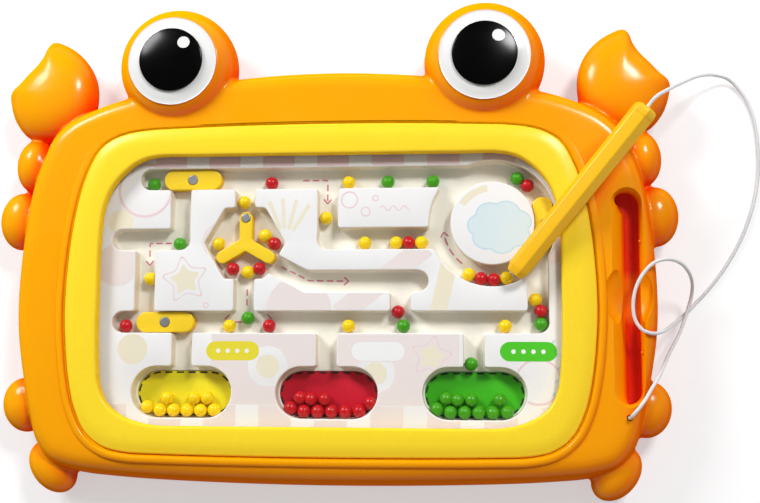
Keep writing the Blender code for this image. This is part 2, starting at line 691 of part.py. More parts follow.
def build_screws():
    """Screws up through the back cover into the front housing."""
    seat = SCREW_RECESS_DEPTH - GAP
    for k, (across, up) in enumerate(SCREW_PLACE_SHARES):
        low = seat - SCREW_HEAD_HEIGHT
        profile = [(0.0, low), (SCREW_HEAD_RADIUS, low), (SCREW_HEAD_RADIUS, seat), (SCREW_RADIUS, seat),
                   (SCREW_RADIUS, SCREW_TOP_HEIGHT), (0.0, SCREW_TOP_HEIGHT)]
        item = turned(f"rear_screw_{k + 1}", profile, body_point(across, up), BOSS_SEGMENTS)
        finish(item, "steel", 0.35)


def build_bezel():
    """The yellow frame round the window."""
    edge = BEZEL_EDGE_ROUND
    rings = [
        at_height(bezel_outline(0.0), BEZEL_BOTTOM_HEIGHT),
        at_height(bezel_outline(0.0), BEZEL_TOP_HEIGHT - edge),
        at_height(bezel_outline(-edge), BEZEL_TOP_HEIGHT - edge / 4),
        at_height(bezel_outline(-BEZEL_CROWN_WIDTH), BEZEL_TOP_HEIGHT),
        at_height(window_outline(BEZEL_LIP_WIDTH), BEZEL_TOP_HEIGHT),
        at_height(window_outline(edge / 2), BEZEL_TOP_HEIGHT - edge / 2),
        at_height(window_outline(0.0), BEZEL_TOP_HEIGHT - 2 * edge),
        at_height(window_outline(0.0), BEZEL_BOTTOM_HEIGHT)]
    finish(loft("bezel", rings, closed=True), "bezel_yellow", 0.25)


def build_window():
    """The clear sheet over the maze."""
    low = WINDOW_TOP_HEIGHT - WINDOW_THICKNESS
    finish(prism("window", window_outline(WINDOW_MARGIN), low, WINDOW_TOP_HEIGHT), "clear", 0.05)


def slider_place(row):
    """The middle of the slider in a row."""
    return maze_point(SLIDER_SHARES[row], ROW_SHARES[row])


def row_start(row):
    """Where a row starts, a set way past its slider's left end."""
    return slider_place(row) - Vector((SLIDER_LENGTH / 2 + ROW_END_LENGTH, 0.0))


def channel_outlines():
    """Outlines of all channels cut to the common floor."""
    rows = {name: ROW_SHARES[name] for name in ROW_SHARES}
    across = COLUMN_SHARES
    right = maze_point(across["right"], rows["lower"])
    ring = maze_point(*RING_PLACE_SHARES)
    right_top = Vector((right.x, ring.y))
    runs = [
        (row_start("top"), maze_point(TOP_ROW_END_SHARE, rows["top"])),
        (maze_point(UPPER_LEFT_END_SHARE, rows["upper"]), maze_point(across["first"], rows["upper"])),
        (maze_point(across["middle"], rows["upper"]), maze_point(UPPER_RIGHT_END_SHARE, rows["upper"])),
        (maze_point(SLOT_ROW_END_SHARES[0], rows["slot"]), maze_point(SLOT_ROW_END_SHARES[1], rows["slot"])),
        (row_start("lower"), right)]
    loops = [capsule(start, end, CHANNEL_WIDTH) for start, end in runs]
    drops = [
        (maze_point(across["first"], rows["upper"]), maze_point(across["first"], rows["top"])),
        (maze_point(across["second"], rows["lower"]), maze_point(across["second"], rows["upper"])),
        (maze_point(across["rotor"], rows["lower"]), maze_point(across["rotor"], rows["top"])),
        (maze_point(across["middle"], rows["upper"]), maze_point(across["middle"], rows["top"])),
        (maze_point(across["link"], rows["lower"]), maze_point(across["link"], rows["slot"])),
        (maze_point(*CHUTE_START_SHARES), maze_point(SLOT_ROW_END_SHARES[0], rows["slot"])),
        (right, right_top)]
    for pocket in POCKET_COLUMN_SHARES:
        foot, head = maze_point(across[pocket], POCKET_ROW_SHARE), maze_point(across[pocket], rows["lower"])
        drops.append((foot, head))
    loops += [capsule(start, end, COLUMN_WIDTH) for start, end in drops]
    corner = CHAMBER_RADIUS / math.cos(math.pi / CHAMBER_SIDES)
    loops.append(circle(maze_point(across["rotor"], ROTOR_ROW_SHARE), corner, CHAMBER_SIDES))
    return loops


def pocket_outline(name, growth):
    """A ball pocket's outline, grown outwards."""
    centre = maze_point(POCKET_COLUMN_SHARES[name], POCKET_ROW_SHARE)
    half = Vector(((POCKET_WIDTH - POCKET_DEPTH) / 2, 0.0))
    return capsule(centre - half, centre + half, POCKET_DEPTH + 2 * growth, POCKET_ARC_STEPS)


def build_tray():
    """The maze tray: channels, the rotor's chamber, the ring and three pockets."""
    top = LAND_HEIGHT + OVERRUN
    tray = prism("maze_tray", window_outline(WINDOW_MARGIN), TRAY_BASE_HEIGHT, LAND_HEIGHT)
    for loop in channel_outlines():
        cut(tray, prism("channel", loop, FLOOR_HEIGHT, top))
    centre = maze_point(*RING_PLACE_SHARES)
    outer, inner = circle(centre, RING_OUTER_RADIUS, RING_SEGMENTS), circle(centre, ISLAND_RADIUS, RING_SEGMENTS)
    rings = [at_height(outer, FLOOR_HEIGHT), at_height(outer, top), at_height(inner, top),
             at_height(inner, FLOOR_HEIGHT)]
    cut(tray, loft("ring", rings, closed=True))
    for name in POCKET_COLUMN_SHARES:
        cut(tray, prism("pocket", pocket_outline(name, 0.0), FLOOR_HEIGHT - POCKET_RECESS, top))
    finish(tray, "tray_white", 0.5)


def build_pocket_floors():
    """A coloured liner in the bottom of each pocket."""
    low = FLOOR_HEIGHT - POCKET_RECESS + GAP
    for name in POCKET_COLUMN_SHARES:
        item = prism(f"pocket_floor_{name}", pocket_outline(name, -GAP), low, low + LINER_THICKNESS)
        finish(item, name, 0.45)


def build_slug(name, centre, radius):
    """A steel slug standing in a gate."""
    low = FLOOR_HEIGHT + GAP
    return prism(name, circle(centre, radius, SLUG_SEGMENTS), low, low + GATE_HEIGHT + SLUG_PROUD)


def slug_hole(centre, radius):
    """The clearance hole through a gate for its slug."""
    reach = GATE_HEIGHT + OVERRUN
    return prism("hole", circle(centre, radius + GAP, SLUG_SEGMENTS), FLOOR_HEIGHT - GAP, FLOOR_HEIGHT + reach)


def build_sliders():
    """Two straight sliding gates and a curved one in the ring."""
    low = FLOOR_HEIGHT + GAP
    half = Vector(((SLIDER_LENGTH - SLIDER_WIDTH) / 2, 0.0))
    for name, row in (("upper", "top"), ("lower", "lower")):
        centre = slider_place(row)
        block = prism(f"{name}_slider", capsule(centre - half, centre + half, SLIDER_WIDTH), low, low + GATE_HEIGHT)
        cut(block, slug_hole(centre, SLUG_RADIUS))
        origin = (centre.x, centre.y, low)
        finish(block, "gate_yellow", 0.3, origin)
        finish(build_slug(f"{name}_slider_slug", centre, SLUG_RADIUS), "steel", 0.4, origin)
    hub = maze_point(*RING_PLACE_SHARES)
    middle = (RING_OUTER_RADIUS + ISLAND_RADIUS) / 2
    inner, outer = middle - RING_SLIDER_WIDTH / 2, middle + RING_SLIDER_WIDTH / 2
    sweep = (RING_SLIDER_LENGTH - RING_SLIDER_WIDTH) / 2 / middle
    turn = math.radians(RING_SLIDER_ANGLE)
    block = prism("ring_slider", ring_sector(hub, inner, outer, turn - sweep, turn + sweep), low, low + GATE_HEIGHT)
    centre = polar(hub, middle, turn)
    cut(block, slug_hole(centre, SLUG_RADIUS))
    origin = (hub.x, hub.y, low)
    finish(block, "gate_yellow", 0.3, origin)
    finish(build_slug("ring_slider_slug", centre, SLUG_RADIUS), "steel", 0.4, origin)


def build_rotor():
    """The three-armed rotor, its steel slug and the pin that it turns on."""
    low = FLOOR_HEIGHT + GAP
    hub = maze_point(COLUMN_SHARES["rotor"], ROTOR_ROW_SHARE)
    half = ROTOR_ARM_WIDTH / 2
    loop = []
    for turn, length in ((90.0, ROTOR_TOP_ARM), (210.0, ROTOR_LOW_ARM), (330.0, ROTOR_LOW_ARM)):
        angle = math.radians(turn)
        tip = polar(hub, length, angle)
        ends = [angle + math.pi * (k / ARC_STEPS - 1 / 2) for k in range(ARC_STEPS + 1)]
        loop += [polar(tip, half, end) for end in ends]
        loop.append(polar(hub, half / math.sin(math.pi / 3), angle + math.pi / 3))
    rotor = prism("star_rotor", loop, low, low + GATE_HEIGHT)
    slug_centre = hub + Vector((0.0, ROTOR_TOP_ARM))
    cut(rotor, slug_hole(slug_centre, ROTOR_SLUG_RADIUS))
    pin_top = FLOOR_HEIGHT + GAP + PIVOT_HEIGHT
    cut(rotor, column("bore", hub, PIVOT_RADIUS + GAP, FLOOR_HEIGHT, pin_top + GAP))
    origin = (hub.x, hub.y, low)
    finish(rotor, "gate_yellow", 0.3, origin)
    finish(build_slug("star_rotor_slug", slug_centre, ROTOR_SLUG_RADIUS), "steel", 0.4, origin)
    pin = column("rotor_pivot_pin", hub, PIVOT_RADIUS, FLOOR_HEIGHT + GAP, pin_top)
    finish(pin, "steel", 0.3)


def ball(name, centre, height, turn=0.0):
    """One ball with its middle at a height."""
    place = Vector((centre.x, centre.y, height))
    return ellipsoid(name, place, (BALL_RADIUS,) * 3, turn, BALL_SEGMENTS, BALL_RINGS)


def build_loose_balls():
    """The loose balls that lie in the channels, each against the channel's lower side."""
    height = FLOOR_HEIGHT + GAP + BALL_RADIUS
    lean = CHANNEL_WIDTH / 2 - BALL_RADIUS - GAP
    for name, row, across, colour in ROW_BALLS_SHARES:
        centre = maze_point(across, ROW_SHARES[row]) - Vector((0.0, lean))
        finish(ball(f"{name}_{colour}", centre, height), colour, 0.2, (centre.x, centre.y, height))
    for name, row, colour in START_BALLS:
        centre = row_start(row) + Vector((START_BALL_STEP, -lean))
        finish(ball(f"{name}_{colour}", centre, height), colour, 0.2, (centre.x, centre.y, height))
    side_lean = COLUMN_WIDTH / 2 - BALL_RADIUS - GAP
    for name, place, up, side, colour in COLUMN_BALLS_SHARES:
        centre = maze_point(COLUMN_SHARES[place], up) + Vector((side * side_lean, 0.0))
        finish(ball(f"{name}_{colour}", centre, height), colour, 0.2, (centre.x, centre.y, height))


def build_ball_over_rotor():
    """The loose ball in the column above the rotor's top arm."""
    height = FLOOR_HEIGHT + GAP + BALL_RADIUS
    rise = ROTOR_TOP_ARM + ROTOR_ARM_WIDTH / 2 + ROTOR_BALL_CLEARANCE + BALL_RADIUS
    side_lean = COLUMN_WIDTH / 2 - BALL_RADIUS - GAP
    centre = maze_point(COLUMN_SHARES["rotor"], ROTOR_ROW_SHARE) + Vector((-side_lean, rise))
    finish(ball(ROTOR_BALL_NAME, centre, height), "yellow", 0.2, (centre.x, centre.y, height))


def string_of(name, centres, height, colour, origin):
    """Touching balls joined into one piece."""
    string = ball(name, centres[0], height)
    for k, centre in enumerate(centres[1:]):
        join(string, ball("next", centre, height, BALL_TURN * (k + 1)))
    return finish(string, colour, 0.2, origin)


def arc_places(hub, radius, middle, count, spacing):
    """Places spaced along a circle, either side of an angle in degrees."""
    step = 2 * math.asin(spacing / 2 / radius)
    first = math.radians(middle) - (count - 1) / 2 * step
    return [polar(hub, radius, first + k * step) for k in range(count)]


def build_ball_strings():
    """Balls that touch in a row, down a column and in the ring."""
    height = FLOOR_HEIGHT + GAP + BALL_RADIUS
    spacing = ROW_SPACING_SHARE * BALL_RADIUS
    lean = CHANNEL_WIDTH / 2 - BALL_RADIUS - GAP
    start = maze_point(UPPER_TRIO_SHARE, ROW_SHARES["upper"]) - Vector((0.0, lean))
    centres = [start + Vector((k * spacing, 0.0)) for k in range(3)]
    string_of("ball_trio_upper", centres, height, "yellow", (start.x, start.y, height))
    side_lean = COLUMN_WIDTH / 2 - BALL_RADIUS - GAP
    low = maze_point(COLUMN_SHARES["right"], RIGHT_TRIO_SHARE) + Vector((side_lean, 0.0))
    middle = low + Vector((0.0, spacing))
    high = middle + Vector((-2 * side_lean, math.sqrt(spacing ** 2 - (2 * side_lean) ** 2)))
    string_of("ball_trio_right", [low, middle, high], height, "green", (low.x, low.y, height))
    hub = maze_point(*RING_PLACE_SHARES)
    middle_radius = (RING_OUTER_RADIUS + ISLAND_RADIUS) / 2
    centres = arc_places(hub, middle_radius, RING_PAIR_ANGLE, 2, spacing)
    string_of("ball_pair_ring", centres, height, "red", (hub.x, hub.y, height))
    centres = arc_places(hub, RING_OUTER_RADIUS - BALL_RADIUS - GAP, RING_FOUR_ANGLE, 4, spacing)
    string_of("ball_four_ring", centres, height, "red", (hub.x, hub.y, height))


def build_chamber_balls():
    """The balls between the rotor's arms, which the arms carry round."""
    height = FLOOR_HEIGHT + GAP + BALL_RADIUS
    hub = maze_point(COLUMN_SHARES["rotor"], ROTOR_ROW_SHARE)
    radius = CHAMBER_RADIUS - BALL_RADIUS - GAP
    origin = (hub.x, hub.y, height)
    for name, turns, colour in CHAMBER_BALLS:
        centres = [polar(hub, radius, math.radians(turn)) for turn in turns]
        string_of(name, centres, height, colour, origin)
    centres = [hub + Vector(place) * radius for place in CHAMBER_PAIR_SHARES]
    string_of("ball_pair_rotor_right", centres, height, "red", origin)


def build_heaps():
    """The balls heaped in each pocket, touching and joined into one piece."""
    height = LINER_TOP_HEIGHT + GAP + BALL_RADIUS
    spacing = ROW_SPACING_SHARE * BALL_RADIUS
    straight = (POCKET_WIDTH - POCKET_DEPTH) / 2
    end_radius = POCKET_DEPTH / 2 - BALL_RADIUS - GAP
    rise = spacing * math.sqrt(3) / 2
    for name, count, upper in HEAPS:
        middle = maze_point(POCKET_COLUMN_SHARES[name], POCKET_ROW_SHARE)
        centres = []
        for k in range(count):
            run = (k - 5 / 2) * spacing - HEAP_SHIFT
            past = max(abs(run) - straight, 0.0)
            angle = past / end_radius
            across = math.copysign(min(abs(run), straight) + end_radius * math.sin(angle), run)
            centres.append(middle + Vector((across, -end_radius * math.cos(angle))))
        for k in upper:
            pair = centres[k + 1] - centres[k]
            lift = Vector((-pair.y, pair.x)).normalized() * rise
            centres.append((centres[k] + centres[k + 1]) / 2 + lift)
        string_of(f"ball_heap_{name}", centres, height, name, None)


def build_eyes():
    """The domed white and pupil set into each eye ball."""
    low = EYE_SEAT_HEIGHT + GAP
    sphere = (WHITE_RADIUS ** 2 + WHITE_CROWN ** 2) / (2 * WHITE_CROWN)
    middle = low + WHITE_CROWN - sphere

    def cap(radius, offset):
        steps = [radius * (1 - k / CAP_STEPS) for k in range(CAP_STEPS)]
        return [(r, middle + math.sqrt((sphere + offset) ** 2 - r ** 2)) for r in steps]

    for side, label in ((-1, "left"), (1, "right")):
        centre = eye_centre(side)
        profile = [(0.0, low)] + cap(WHITE_RADIUS, 0.0) + [(0.0, middle + sphere)]
        profile[1] = (WHITE_RADIUS, low)
        finish(turned(f"{label}_eye_white", profile, centre, EYE_SEGMENTS), "white", 0.15)
        under = [(r, z) for r, z in reversed(cap(PUPIL_RADIUS, GAP))]
        over = cap(PUPIL_RADIUS, GAP + PUPIL_THICKNESS)
        crown = middle + sphere + GAP
        profile = [(0.0, crown)] + under + over + [(0.0, crown + PUPIL_THICKNESS)]
        finish(turned(f"{label}_eye_pupil", profile, centre, EYE_SEGMENTS), "black", 0.1)


def pen_frame():
    """The pen's place: X along it from tip to tail, its nose on the window, its side on the bezel."""
    tip = maze_point(*PEN_TIP_PLACE_SHARES)
    heading = math.radians(PEN_HEADING)
    support = math.cos(math.radians(PEN_TWIST))
    aside = PEN_RADIUS * PEN_TIP_SHARE * math.sin(math.radians(PEN_TWIST)) * math.sin(heading)
    edge_x = PEN_EDGE_SHARE * WINDOW_WIDTH / 2 + BEZEL_LIP_WIDTH
    to_edge = (edge_x - tip.x - aside) / math.cos(heading)
    share = PEN_TIP_SHARE + (1 - PEN_TIP_SHARE) * to_edge / PEN_LENGTH
    nose = WINDOW_TOP_HEIGHT + GAP + PEN_RADIUS * PEN_TIP_SHARE * support
    edge = BEZEL_TOP_HEIGHT + GAP + PEN_RADIUS * share * support
    tilt = math.atan2(edge - nose, to_edge - PEN_NOSE_LENGTH)
    base = nose - PEN_NOSE_LENGTH * math.sin(tilt)
    turn = Matrix.Rotation(heading, 4, "Z") @ Matrix.Rotation(-tilt, 4, "Y")
    return Matrix.Translation((tip.x, tip.y, base)) @ turn


def pen_ring(along, radius):
    """A six-sided ring across the pen."""
    turns = [math.radians(PEN_TWIST + 60.0 * k) for k in range(6)]
    return [Vector((along, radius * math.sin(t), radius * math.cos(t))) for t in turns]


def pen_bar(name, radius, start, end):
    """A round bar along the pen's axis."""
    turns = [2 * math.pi * k / BOSS_SEGMENTS for k in range(BOSS_SEGMENTS)]
    rings = [[Vector((s, radius * math.sin(t), radius * math.cos(t))) for t in turns] for s in (start, end)]
    return loft(name, rings)


def build_pen():
    """The six-sided pen: barrel, magnet in its nose and cap at its tail."""
    shoulder = PEN_LENGTH - PEN_CAP_LENGTH
    nose, tip = PEN_RADIUS * PEN_NOSE_SHARE, PEN_RADIUS * PEN_TIP_SHARE
    barrel = loft("pen_barrel", [pen_ring(0.0, nose), pen_ring(PEN_NOSE_LENGTH, tip),
                                 pen_ring(shoulder, PEN_RADIUS)])
    magnet_end = MAGNET_LENGTH - MAGNET_PROUD
    cut(barrel, pen_bar("socket", MAGNET_RADIUS + GAP, -OVERRUN, magnet_end + GAP))
    bore_start = magnet_end + WALL
    cut(barrel, pen_bar("bore", PEN_BORE_RADIUS, bore_start, shoulder + OVERRUN))
    cap_rings = [pen_ring(shoulder + GAP + s * PEN_CAP_LENGTH, PEN_RADIUS * r) for s, r in PEN_CAP_SHARES]
    cap = loft("pen_cap", cap_rings)
    spigot_start = shoulder - PEN_SPIGOT_LENGTH
    join(cap, pen_bar("spigot", PEN_BORE_RADIUS - GAP, spigot_start, shoulder + PEN_CAP_LENGTH / 2))
    magnet = pen_bar("pen_magnet", MAGNET_RADIUS, -MAGNET_PROUD, magnet_end)
    frame = pen_frame()
    for item, colour, roughness in ((barrel, "yellow", 0.3), (cap, "yellow", 0.3), (magnet, "steel", 0.3)):
        item.data.transform(frame)
        finish(item, colour, roughness, frame.translation.copy(), 25.0)


def build_tether():
    """The tether's tube along its route, and the knot that holds it in the case."""
    ends = [pen_frame() @ Vector((PEN_LENGTH + 2 * GAP + run, 0.0, 0.0)) for run in (TETHER_SPACING, 0.0)]
    route = [Vector(p) for p in TETHER_ROUTE] + ends
    dense = curve_points(route, ARC_STEPS, False)
    lengths = [0.0]
    for a, b in zip(dense, dense[1:]):
        lengths.append(lengths[-1] + (b - a).length)
    count = round(lengths[-1] / TETHER_SPACING)
    points = []
    k = 0
    for j in range(count + 1):
        target = lengths[-1] * j / count
        while k < len(lengths) - 2 and lengths[k + 1] < target:
            k += 1
        points.append(dense[k].lerp(dense[k + 1], (target - lengths[k]) / (lengths[k + 1] - lengths[k])))
    curve = bpy.data.curves.new("tether_cord", "CURVE")
    curve.dimensions = "3D"
    curve.bevel_depth = TETHER_RADIUS
    curve.bevel_resolution = 2
    curve.use_fill_caps = True
    spline = curve.splines.new("POLY")
    spline.points.add(len(points) - 1)
    for target, point in zip(spline.points, points):
        target.co = (*point, 1.0)
    item = bpy.data.objects.new("tether_cord", curve)
    bpy.context.collection.objects.link(item)
    material = bpy.data.materials.new("cord")
    material.use_nodes = True
    shader = material.node_tree.nodes["Principled BSDF"]
    shader.inputs["Base Color"].default_value = (*COLOURS["cord"], 1.0)
    shader.inputs["Roughness"].default_value = 0.3
    curve.materials.append(material)
    anchor = anchor_point()
    centre = Vector((anchor.x, anchor.y, ANCHOR_SEAT_HEIGHT - GAP - KNOT_RADIUS))
    knot = ellipsoid("tether_knot", centre, (KNOT_RADIUS,) * 3, 0.0, BALL_SEGMENTS, LEG_RINGS)
    finish(knot, "cord", 0.4)


def main():
    """Build every piece of the board."""
    for item in list(bpy.data.objects):
        bpy.data.objects.remove(item, do_unlink=True)
    outer, hollow = case_forms()
    build_rear_cover(copy_of(outer, "rear"), copy_of(hollow, "rear_hollow"))
    build_front_housing(outer, hollow)
    build_screws()
    build_bezel()
    build_window()
    build_tray()
    build_pocket_floors()
    build_sliders()
    build_rotor()
    build_loose_balls()
    build_ball_over_rotor()
    build_ball_strings()
    build_chamber_balls()
    build_heaps()
    build_eyes()
    build_pen()
    build_tether()


main()
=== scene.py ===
"""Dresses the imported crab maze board: case, bezel, window, maze, gates, balls, eyes, pen and tether."""
import math

import bmesh
import bpy
from bpy.props import FloatProperty, FloatVectorProperty, IntProperty, PointerProperty
from mathutils import Matrix, Vector
from mathutils.geometry import delaunay_2d_cdt


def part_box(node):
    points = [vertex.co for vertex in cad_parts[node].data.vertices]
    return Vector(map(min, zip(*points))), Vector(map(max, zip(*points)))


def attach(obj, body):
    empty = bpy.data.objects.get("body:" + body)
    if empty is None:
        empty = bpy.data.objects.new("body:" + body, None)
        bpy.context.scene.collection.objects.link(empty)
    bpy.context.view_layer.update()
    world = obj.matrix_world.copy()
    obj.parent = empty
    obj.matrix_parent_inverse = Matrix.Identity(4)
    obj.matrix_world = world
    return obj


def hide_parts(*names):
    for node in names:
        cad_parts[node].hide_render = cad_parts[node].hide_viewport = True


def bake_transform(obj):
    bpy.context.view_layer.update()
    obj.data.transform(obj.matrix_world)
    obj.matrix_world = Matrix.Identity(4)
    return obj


bl_info = {
    "name": "Crab maze board",
    "version": (1, 0, 0),
    "blender": (4, 5, 0),
    "location": "3D View > Sidebar > Maze board",
    "description": "Dresses the packed frame of a crab-shaped magnetic maze board",
    "category": "Object",
}

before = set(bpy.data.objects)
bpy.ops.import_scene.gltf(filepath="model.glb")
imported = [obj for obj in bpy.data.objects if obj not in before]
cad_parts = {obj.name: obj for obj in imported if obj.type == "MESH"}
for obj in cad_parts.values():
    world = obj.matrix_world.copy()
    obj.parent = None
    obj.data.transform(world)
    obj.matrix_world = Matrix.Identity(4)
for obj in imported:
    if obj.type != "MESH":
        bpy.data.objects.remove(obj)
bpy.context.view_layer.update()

# Fine gaps, in metres
MERGE = 0.000001
HAIR = 0.00003
GAP = 0.0003
OVERRUN = 0.004

# Case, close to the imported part's sizes
BODY_WIDTH = 0.2990
BODY_DEPTH = 0.1923
BODY_LOW = -0.1088
BODY_HEIGHT = 0.0300
LEFT_FLANK_SHARE = 0.984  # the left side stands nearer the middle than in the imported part
SHOULDER_WIDTH = 0.0140
LOWER_FALL = 0.0040
FALL_START = 0.0350
FALL_SPAN = 0.0300
FALL_FOOT_SHARE = 0.3
PARTING_HEIGHT = 0.0120
BODY_OUTLINE_SHARES = [
    (0.0, 1.0), (0.194, 0.995), (0.401, 0.979), (0.656, 0.945), (0.776, 0.914), (0.846, 0.886),
    (0.900, 0.847), (0.933, 0.792), (0.962, 0.727), (0.987, 0.607), (1.0, 0.462), (0.997, 0.368),
    (0.980, 0.275), (0.953, 0.176), (0.926, 0.098), (0.876, 0.048), (0.803, 0.027),
    (0.669, 0.015), (0.401, 0.005), (0.0, 0.0)]
BODY_SECTION_SHARES = [
    (0.45, 0.0), (0.13, 0.06), (0.0, 0.28), (0.045, 0.55), (0.125, 0.765), (0.24, 0.905),
    (0.46, 0.983), (1.0, 1.0)]
EYE_RADIUS = 0.0278
EYE_CENTRE_HEIGHT = 0.0210
EYE_SEAT_HEIGHT = 0.0346
EYE_SEAT_RADIUS = 0.0209
EYE_POWER = 2.3
CLAW_REACH = 0.0282
CLAW_HALF_HEIGHT = 0.0118
CLAW_MID_HEIGHT = 0.0150
CLAW_CORE_SHARE = 0.78
CLAW_ROUND_SHARE = 0.75
CLAW_PLACE_SHARES = (0.896, 0.951)
CLAW_OUTLINE_SHARES = [
    (0.092, 1.0), (-0.177, 0.904), (-0.355, 0.780), (-0.514, 0.603), (-0.628, 0.379),
    (-0.670, 0.145), (-0.660, -0.085), (-0.610, -0.35), (-0.42, -0.60), (0.0, -0.76),
    (0.457, -0.706), (0.677, -0.472), (0.759, -0.294), (0.805, -0.117), (0.823, 0.035),
    (0.780, 0.131), (0.649, 0.230), (0.479, 0.404), (0.337, 0.560), (0.230, 0.752),
    (0.174, 0.920)]
CLAW_SECTION_SHARES = [(0.60, -1.0), (0.92, -0.58), (1.0, 0.0), (0.955, 0.35), (0.83, 0.62),
                       (0.62, 0.83), (0.36, 0.95), (0.08, 1.0)]
LEG_HEIGHT = 0.0140
LEG_HALF_THICKNESS = 0.0092
LEG_PLACE_SHARES = [(0.960, 0.778), (0.997, 0.638), (0.960, 0.186), (0.866, 0.038)]
LEG_HALF_LENGTHS = (0.0130, 0.0138, 0.0128, 0.0135)
LEG_HALF_WIDTHS = (0.0090, 0.0105, 0.0108, 0.0095)
LEG_LEANS = (4.0, 0.0, -12.0, -40.0)

# Bezel and window outlines, as shares of their width and depth
BEZEL_OUTLINE_SHARES = [
    (0.0, 1.0), (0.498, 0.994), (0.741, 0.983), (0.828, 0.962), (0.881, 0.930), (0.922, 0.870),
    (0.952, 0.797), (0.977, 0.695), (0.993, 0.582), (1.0, 0.450), (0.994, 0.344),
    (0.977, 0.231), (0.949, 0.138), (0.902, 0.066), (0.836, 0.026), (0.754, 0.010),
    (0.615, 0.005), (0.0, 0.0)]
WINDOW_OUTLINE_SHARES = [
    (0.0, 1.0), (0.569, 1.0), (0.750, 0.998), (0.825, 0.981), (0.897, 0.937), (0.954, 0.875),
    (0.985, 0.802), (0.998, 0.701), (1.0, 0.498), (0.995, 0.256), (0.978, 0.134),
    (0.937, 0.071), (0.863, 0.028), (0.759, 0.004), (0.569, 0.0), (0.0, 0.0)]
BEZEL_WIDTH = 0.2418
BEZEL_DEPTH = 0.1511
BEZEL_RISE = 0.0139
BEZEL_EDGE = 0.0012
BEZEL_SPAN = 0.0070
BEZEL_FALL = 0.0009
BEZEL_LIP = 0.0022
BEZEL_POINTS = 420
COLLAR_WIDTH = 0.0034
COLLAR_RISE = 0.0012
SEAT_GROOVE = 0.0009
WINDOW_WIDTH = 0.2108
WINDOW_DEPTH = 0.1236
WINDOW_RISE = 0.0133
WINDOW_MARGIN = 0.0050
WELL_MARGIN = 0.0055
WELL_FLOOR = 0.0025

# Maze, as shares of the window
ROW_SHARES = {"top": 0.919, "upper": 0.690, "slot": 0.532, "lower": 0.381}
COLUMN_SHARES = {"first": -0.655, "second": -0.808, "rotor": -0.366, "middle": 0.0,
                 "link": 0.318, "right": 0.905, "yellow": -0.635, "red": 0.0, "green": 0.632}
CHANNEL_WIDTH = 0.0100
COLUMN_WIDTH = 0.0094
CHANNEL_DEPTH = 0.0080
ROTOR_ROW_SHARE = 0.675
CHAMBER_RADIUS = 0.0165
RING_PLACE_SHARES = (0.713, 0.744)
RING_OUTER_RADIUS = 0.0288
ISLAND_RADIUS = 0.0190
SLIDER_SHARES = {"top": -0.609, "lower": -0.719}
ROW_END_LENGTH = 0.0058
TOP_ROW_END_SHARE = 0.588
UPPER_LEFT_END_SHARE = -0.916
UPPER_RIGHT_END_SHARE = 0.500
SLOT_ROW_END_SHARES = (-0.091, 0.392)
CHUTE_START_SHARES = (-0.256, 0.604)
POCKET_WIDTH = 0.0438
POCKET_DEPTH = 0.0235
POCKET_ROW_SHARE = 0.123
POCKET_COLUMN_SHARES = {"yellow": -0.620, "red": 0.015, "green": 0.647}
POCKET_RECESS = 0.0020
POCKET_REACH = 0.0028
LINER_LEDGE = 0.0015
LAND_ROUND = 0.0005
FLOOR_ROUND = 0.0007

# Prints
LABELS = {"yellow": (-0.0554, -0.0309), "red": (0.0113, 0.0357), "green": (0.0781, 0.1033)}
LABEL_LOW = -0.0520
LABEL_HIGH = -0.0433
LABEL_DOT_PITCH = 0.0044
LABEL_DOT_RADIUS = 0.0010
ARROW_DASH = (0.0031, 0.0015)
SWEEP_DASH = (0.0036, 0.0018)
PLAIN_DASH = (0.0030, 0.0015)
POCKET_DASH = (0.0034, 0.0021)
ARROW_HEAD = 0.0028
MARK_WIDTH = 0.0007
POCKET_MARK_WIDTH = 0.0008
CHEQUER_START = -0.0560
CHEQUER_PITCH = 0.0254
CHEQUER_WIDTH = 0.0148
CHEQUER_ROWS = {"print_rose": (0.0355, 0.0560), "print_pale": (-0.0900, -0.0722)}
ARROWS = [[(-0.0130, 0.0321), (-0.0012, 0.0321), (-0.0012, 0.0210)],
          [(-0.0750, 0.0028), (-0.0856, 0.0028), (-0.0855, -0.0076)],
          [(-0.0228, -0.0086), (-0.0162, -0.0116), (-0.0096, -0.0150), (0.0090, -0.0153)]]
PLAIN_DASHES = [[(-0.0386, -0.0190), (-0.0386, -0.0290)], [(-0.0490, -0.0330), (-0.0466, -0.0306)],
                [(-0.0440, -0.0342), (-0.0400, -0.0342)], [(-0.0290, -0.0306), (-0.0264, -0.0332)]]

# Gates
SLIDER_LENGTH = 0.0272
SLIDER_WIDTH = 0.0094
RING_SLIDER_LENGTH = 0.0250
RING_SLIDER_WIDTH = 0.0090
RING_SLIDER_ANGLE = -0.5
ROTOR_ARM_WIDTH = 0.0060
ROTOR_ARMS = ((90.0, 0.0119), (210.0, 0.0124), (330.0, 0.0124))
GATE_ROUND = 0.0005
SLUG_ROUND = 0.0003

# Balls, with their spacings as shares of the radius
BALL_SPACING_SHARE = 1.9
HEAP_SPACING_SHARE = 2.08
HEAP_SHIFT = 0.0014
HEAP_RUN_ON = 0.0008
HEAPS = [("yellow", 6, (1, 3, 4)), ("red", 7, (0, 1, 2)), ("green", 6, (0, 1, 2, 4))]
ROTOR_BALLS = ("10", "19")
RING_PAIR_ANGLE = 54.6
RING_FOUR_ANGLE = -95.3
CHAMBER_LOW_ANGLES = (-86.5, -61.2)
CHAMBER_RIGHT_SHARES = ((1.0, 0.009), (0.669, 0.297))

# Eyes
WHITE_ROUND = 0.0006
PUPIL_ROUND = 0.0005
EYE_SPOT_OFFSET = (0.0062, 0.0076)
EYE_SPOT_RADIUS = 0.0028

